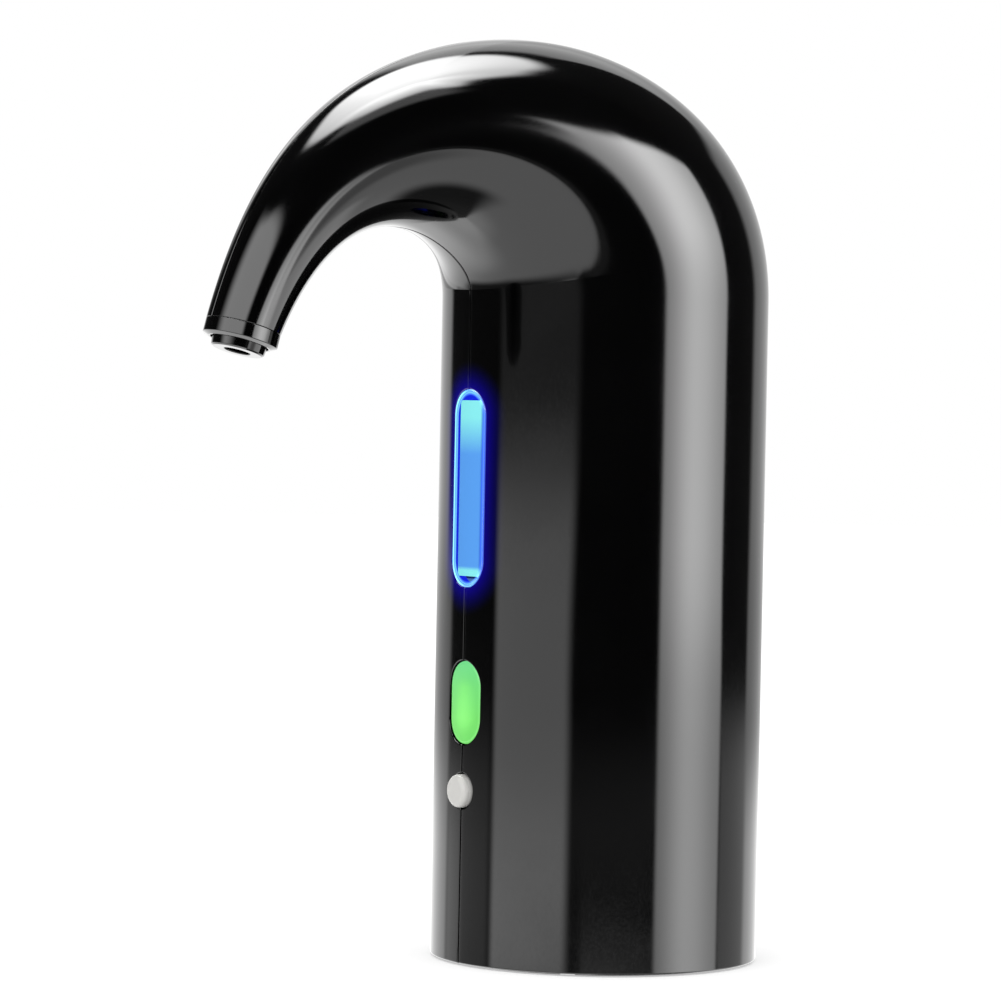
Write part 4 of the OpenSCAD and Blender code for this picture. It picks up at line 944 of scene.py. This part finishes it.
class DISPENSER_OT_finishes(bpy.types.Operator):
    """Gives every carried-over CAD node its own finish, by its slot in the record"""

    bl_idname = "dispenser.finishes"
    bl_label = "Finishes"

    def execute(self, context):
        made = {
            "matte_black": moulded("matte_black", (0.016, 0.016, 0.017), 0.5, 0.12, 70.0, 2600.0, 0.5, 0.75),
            "dark_plastic": moulded("dark_plastic", (0.02, 0.02, 0.022), 0.45, 0.1, 90.0, 3000.0, 0.25),
            "light_plastic": moulded("light_plastic", (0.52, 0.52, 0.5), 0.45, 0.1, 60.0, 2800.0, 0.25, 0.9),
            "white_plastic": moulded("white_plastic", (0.76, 0.76, 0.74), 0.36, 0.1, 80.0, 2800.0, 0.15, 0.93),
            "board": printed_board("board_green", (0.012, 0.10, 0.045), (0.05, 0.20, 0.08)),
            "board_white": printed_board("board_white", (0.74, 0.75, 0.74), (0.60, 0.61, 0.60)),
            "blue_led": small_light("blue_lamp", (0.10, 0.35, 1.0)),
            "green_led": small_light("green_lamp", (0.25, 1.0, 0.20)),
            "chip": moulded("chip_black", (0.018, 0.018, 0.02), 0.55, 0.1, 300.0, 4200.0, 0.3),
            "rubber_dark": moulded("rubber_dark", (0.05, 0.05, 0.055), 0.62, 0.14, 90.0, 2400.0, 0.3),
            "silicone": moulded("silicone", (0.66, 0.67, 0.66), 0.48, 0.12, 80.0, 2400.0, 0.15, 0.92),
            "steel": turned_steel("bright_steel", (0.62, 0.62, 0.63), 0.24, 420.0, 0.12),
            "core_steel": turned_steel("core_steel", (0.34, 0.35, 0.36), 0.38, 1500.0, 0.6),
            "magnet": moulded("magnet_grey", (0.06, 0.06, 0.062), 0.5, 0.12, 160.0, 3400.0, 0.35, Metallic=0.3),
            "bronze": turned_steel("bronze", (0.52, 0.36, 0.17), 0.34, 700.0, 0.15),
            "copper": wound_copper(),
            "cell": moulded("cell_foil", (0.52, 0.54, 0.57), 0.34, 0.12, 90.0, 1300.0, 0.35, 0.85, Metallic=0.75),
        }
        for part in frame["record"]["subparts"]:
            if part["node"] != "sight_tube" and part["material_slot"] in made:
                paint(part["node"], made[part["material_slot"]])
        return {"FINISHED"}


# The studio

SWING = math.radians(54.104)  # azimuth of the camera
PAN, PITCH, ROLL = (math.radians(angle) for angle in (1.295, -1.367, -1.107))
AWAY = Vector((math.sin(SWING), -math.cos(SWING), 0.0))
RIGHT = Vector((math.cos(SWING), math.sin(SWING), 0.0))
UP = Vector((0.0, 0.0, 1.0))


def studio_light(a, el):
    """Light that the studio sends from azimuth a, right of the camera, and elevation el, in degrees.

    Soft boxes and cards, each a product of smooth steps over azimuth and elevation: a large box overhead, a
    tall one to the right, a slanted one to the upper left, a low pale card to the left, a far one behind to
    the left, the white sweep behind and the pale table below with its dark gaps. What is left is a dark room.
    """
    light = np.full(a.shape, 0.03)
    down = -el

    def lay(mask, value):
        nonlocal light
        light = light * (1 - mask) + value * mask

    # The far edge of the table between the cards
    left, right = ease(a, -130, -124) * ease(a, -76, -84), ease(a, 97, 100)
    lay(left, 0.035 + 0.55 * ease(down, 3.6, 6.0) + 0.55 * ease(a, -105, -113) * ease(down, 4.4, 5.9))
    lay(ease(a, -28, -22) * ease(a, 43, 39), 0.02 + 0.17 * ease(down, 4.0, 5.8) * ease(down, 6.8, 5.8))
    lay(right, 0.04 + 0.78 * ease(down, 3.6, 4.9))

    # The low pale card
    card = 0.22 + 1.48 * ease(down, 0.2, 2.1) + 0.85 * ease(down, 4.4, 6.4)
    slant = 0.6 + 4.9 * ease(down, 0, 4) - 1.8 * ease(down, 2.5, 5)
    lay(ease(a, -80, -74) * ease(a + slant, -12, -20) * ease(el, 9, 5), card)

    # The white sweep behind and the far box in it
    rise = 27 + 25 * ease(a, 148, 158)
    lay(ease(a, 126, 135) * ease(el - rise, 3, -3), 0.85 + 0.5 * ease(el, 24, 34))
    lay(ease(a, -158, -168) * ease(el, 60, 54), 1.1 + 0.5 * ease(el, 24, 34))
    lay(ease(a, -133, -140) * ease(el, 8, 4), 1.0)
    lay(ease(np.abs(a - 1.5), 125.5, 133.5) * ease(down, 1.0, 3.0), 0.72 + 0.95 * ease(down, 4.0, 6.0))
    light += 2.0 * np.exp(-(((a + 155) / 8) ** 2) - ((el - 21) / 8) ** 2)

    # The slanted box
    crest = 42.0 - 0.0075 * np.maximum(a + 45, 0) ** 2
    light += 4.3 * ease(a, -84, -52) * ease(a, 17, 5) * ease(el, 6, 12) * ease(el - crest, 2.5, -2.5)

    # The tall box
    tall = 4.4 + 8.3 * np.exp(-(((a - 66.5) / (17 + 5 * ease(a, 64, 78))) ** 2))
    tall *= ease(a + 1.6 * ease(el, -4, -2), 98.5, 95)
    tall *= ease(a + 4.5 * ease(el, 1, 15) - 3.6 * ease(el, 21, 30), 41.2, 45.2)
    tall *= 0.5 + 0.26 * ease(el, -4.2, -2.0) + 0.24 * ease(el, -1, 18)
    crest = 38.7 - 0.3 * np.clip(62 - a, 0, 30) - 0.01 * np.clip(a - 72, 0, 30) ** 2
    light += tall * ease(el - crest, 1.7, -1.7)

    # The table
    floor = 1.9 + 1.0 * ease(down, 30, 55) * ease(a, -60, -110) + 1.0 * ease(down, 66, 86)
    floor += 1.4 * ease(a, 70, 80) * ease(a, 116, 104) * ease(down, 36, 26)
    floor *= 1 - 0.92 * ease(a, 6, 30) * ease(down, 45, 58) * ease(a, 180, 172)
    floor *= 1 - 0.45 * ease(np.hypot((a - 53) / 19, (el + 13) / 11), 1.2, 0.5)
    gap = 21.2 - 0.21 * np.clip(a + 72, 0, 70)
    beside = ease(a, -124, -108) * ease(a, -12, -20)
    floor *= 1 - 0.94 * beside * ease(down / gap, 1.31, 0.69)
    rise = 0.8 * ease(a, -14, -6) * ease(a, 50, 42)
    lay(ease(down, 8 - rise - 0.5 * beside, 10.5 - 2 * (rise + beside)), floor)

    # The large box overhead
    edge = 65.5 + 8.5 * np.cos(np.radians(a - 35))
    for turn, wide, shift in ((-150, 24, -8.2), (-100, 22, -2.2), (-45, 22, 2.6), (47, 9, -5.0), (114, 14, 1.4)):
        edge += shift * np.exp(-(((a - turn) / wide) ** 2))
    front = ease(a, -95, -60) * ease(a, 105, 75)
    over = 8.0 + (9.0 + 3.5 * front) * np.clip((el - edge) / (22 - 9 * front), 0, 1)
    light += 1.25 * ease(a, -42, -26) * ease(a, 47, 37) * ease(el, 59, 64)
    lay(ease(el - edge, -2.5, 2.5), over)
    return light


class DISPENSER_OT_studio(bpy.types.Operator):
    """Sets the floor, the soft boxes that the gloss shows, the key light, the world and the camera"""

    bl_idname = "dispenser.studio"
    bl_label = "Studio"

    def execute(self, context):
        st = context.scene.dispenser_studio
        self.set_camera(context, st)
        self.set_floor(st)
        self.set_boxes()
        self.set_world(context, st)
        self.set_key(context, st)
        context.scene.view_settings.view_transform = "Standard"
        return {"FINISHED"}

    def set_key(self, context, st):
        """Hangs the key light at the upper left of the camera, aimed at the body's middle."""
        key = bpy.data.lights.new("key_light", "AREA")
        key.shape, key.size, key.energy = "DISK", 0.9, st.key
        lamp = bpy.data.objects.new("key_light", key)
        lamp.location = AWAY * 0.9 - RIGHT * 0.55 + UP * 1.2
        lamp.rotation_mode = "QUATERNION"
        lamp.rotation_quaternion = (UP * 0.09 - lamp.location).to_track_quat("-Z", "Y")
        lamp.visible_glossy = False
        context.scene.collection.objects.link(lamp)

    def set_camera(self, context, st):
        """Stands the camera at its distance and height, turned a little off the axis."""
        pan = Matrix.Rotation(PAN, 3, UP)
        look, right = pan @ -AWAY, pan @ RIGHT
        pitch = Matrix.Rotation(PITCH, 3, right)
        look, up = pitch @ look, pitch @ UP
        roll = Matrix.Rotation(ROLL, 3, look)
        right, up = roll @ right, roll @ up
        data = bpy.data.cameras.new("camera")
        data.sensor_width, data.lens = 36.0, 160.56
        data.clip_start, data.clip_end = 0.01, 100.0
        camera = bpy.data.objects.new("camera", data)
        axes = Matrix((right, up, -look)).transposed().to_4x4()
        camera.matrix_world = Matrix.Translation(AWAY * st.distance + UP * st.camera_height) @ axes
        context.scene.collection.objects.link(camera)
        context.scene.camera = camera

    def set_floor(self, st):
        """Lays a pale round floor, clear from below, that keeps the shadow and that the camera sees as white."""
        a = np.linspace(0, 2 * np.pi, 97)[:-1, None]
        r = np.r_[0.0, 0.05, 0.1, 0.2, 0.4, 0.8, 1.6, 3.0][None] / MM
        points = np.stack([r * np.cos(a), r * np.sin(a), 0 * a * r - 0.02], -1).reshape(-1, 3)
        floor = add_piece("floor", points, grid_faces(96, 8, True), weld=True)
        material, tree, bsdf = shader("pale_floor")
        tree.nodes.remove(bsdf)
        matt = put(tree, "ShaderNodeBsdfDiffuse", Color=st.floor)
        camera_ray = put(tree, "ShaderNodeLightPath").outputs["Is Camera Ray"]
        lift = put(tree, "ShaderNodeEmission", Strength=maths(tree, "MULTIPLY", camera_ray, 0.47))
        add, either = put(tree, "ShaderNodeAddShader"), put(tree, "ShaderNodeMixShader")
        below, clear = put(tree, "ShaderNodeNewGeometry"), put(tree, "ShaderNodeBsdfTransparent")
        for node, socket in (
            (matt, add.inputs[0]), (lift, add.inputs[1]), (add, either.inputs[1]), (clear, either.inputs[2]),
            (either, tree.nodes["Material Output"].inputs["Surface"]),
        ):
            tree.links.new(node.outputs[0], socket)
        tree.links.new(below.outputs["Backfacing"], either.inputs[0])
        floor.data.materials.append(material)
        floor.visible_glossy = False

    def set_boxes(self):
        """Hangs the soft boxes and cards on a far dome that only reflections see."""
        el = np.concatenate([np.linspace(-90, -10, 41), np.linspace(-9.75, 3, 52), np.linspace(4, 90, 87)])
        a = np.linspace(-180, 180, 361)[:-1]
        el, a = np.meshgrid(el, a, indexing="ij")
        level, turn = np.radians(el), np.radians(a) + SWING
        reach, centre = 4.0e4, 95
        points = reach * np.stack([np.cos(level) * np.sin(turn), -np.cos(level) * np.cos(turn), np.sin(level)], -1)
        points[..., 2] += centre
        light = np.repeat(studio_light(a, el).reshape(-1, 1), 3, 1)
        faces = grid_faces(*el.shape, False, True)[:, ::-1]
        dome = add_piece("soft_boxes", points.reshape(-1, 3), faces, colours=light)
        material, tree, bsdf = shader("soft_box_light")
        tree.nodes.remove(bsdf)
        bounce = put(tree, "ShaderNodeLightPath").outputs["Ray Depth"]
        strength = spread(tree, bounce, 1.0, 0.3, 1.0, 2.0)
        lamp = put(tree, "ShaderNodeEmission", Color=own_glow(tree), Strength=strength)
        tree.links.new(lamp.outputs[0], tree.nodes["Material Output"].inputs["Surface"])
        material.cycles.emission_sampling = "NONE"
        dome.data.materials.append(material)
        dome.visible_camera = dome.visible_diffuse = dome.visible_shadow = False
        dome.visible_transmission = dome.visible_volume_scatter = False

    def set_world(self, context, st):
        """White world: full for rays from the camera and in gloss or glass, a little less as light."""
        world = bpy.data.worlds.new("white_sweep")
        world.use_nodes = True
        tree = world.node_tree
        path = put(tree, "ShaderNodeLightPath").outputs
        seen = maths(tree, "ADD", path["Is Camera Ray"], path["Is Glossy Ray"])
        seen = maths(tree, "ADD", seen, path["Is Transmission Ray"], clamp=True)
        back = tree.nodes["Background"]
        feed(tree, back, Color=(1.0, 1.0, 1.0), Strength=spread(tree, seen, st.fill, 1.0))
        context.scene.world = world


class DISPENSER_PT_panel(bpy.types.Panel):
    """Lists the pieces of the dispenser in the sidebar"""

    bl_idname = "DISPENSER_PT_panel"
    bl_label = "Wine Dispenser"
    bl_space_type = "VIEW_3D"
    bl_region_type = "UI"
    bl_category = "Dispenser"

    def draw(self, context):
        for operator in OPERATORS:
            self.layout.operator(operator.bl_idname)


GROUPS = {
    "dispenser_housing": HousingSizes,
    "dispenser_window": WindowSizes,
    "dispenser_buttons": ButtonSizes,
    "dispenser_studio": StudioSizes,
}
OPERATORS = (
    DISPENSER_OT_studio,
    DISPENSER_OT_finishes,
    DISPENSER_OT_housing,
    DISPENSER_OT_nozzle,
    DISPENSER_OT_window,
    DISPENSER_OT_buttons,
    DISPENSER_OT_hoses,
    DISPENSER_OT_leads,
)


register_classes, unregister_classes = bpy.utils.register_classes_factory(
    (*GROUPS.values(), *OPERATORS, DISPENSER_PT_panel)
)


def register():
    register_classes()
    for name, group in GROUPS.items():
        setattr(bpy.types.Scene, name, PointerProperty(type=group))


def unregister():
    for name in GROUPS:
        delattr(bpy.types.Scene, name)
    unregister_classes()


def main():
    register()
    bpy.ops.dispenser.studio()
    bpy.ops.dispenser.finishes()
    bpy.ops.dispenser.housing()
    bpy.ops.dispenser.nozzle()
    bpy.ops.dispenser.window()
    bpy.ops.dispenser.buttons()
    bpy.ops.dispenser.hoses()
    bpy.ops.dispenser.leads()


if __name__ == "__main__":
    main()
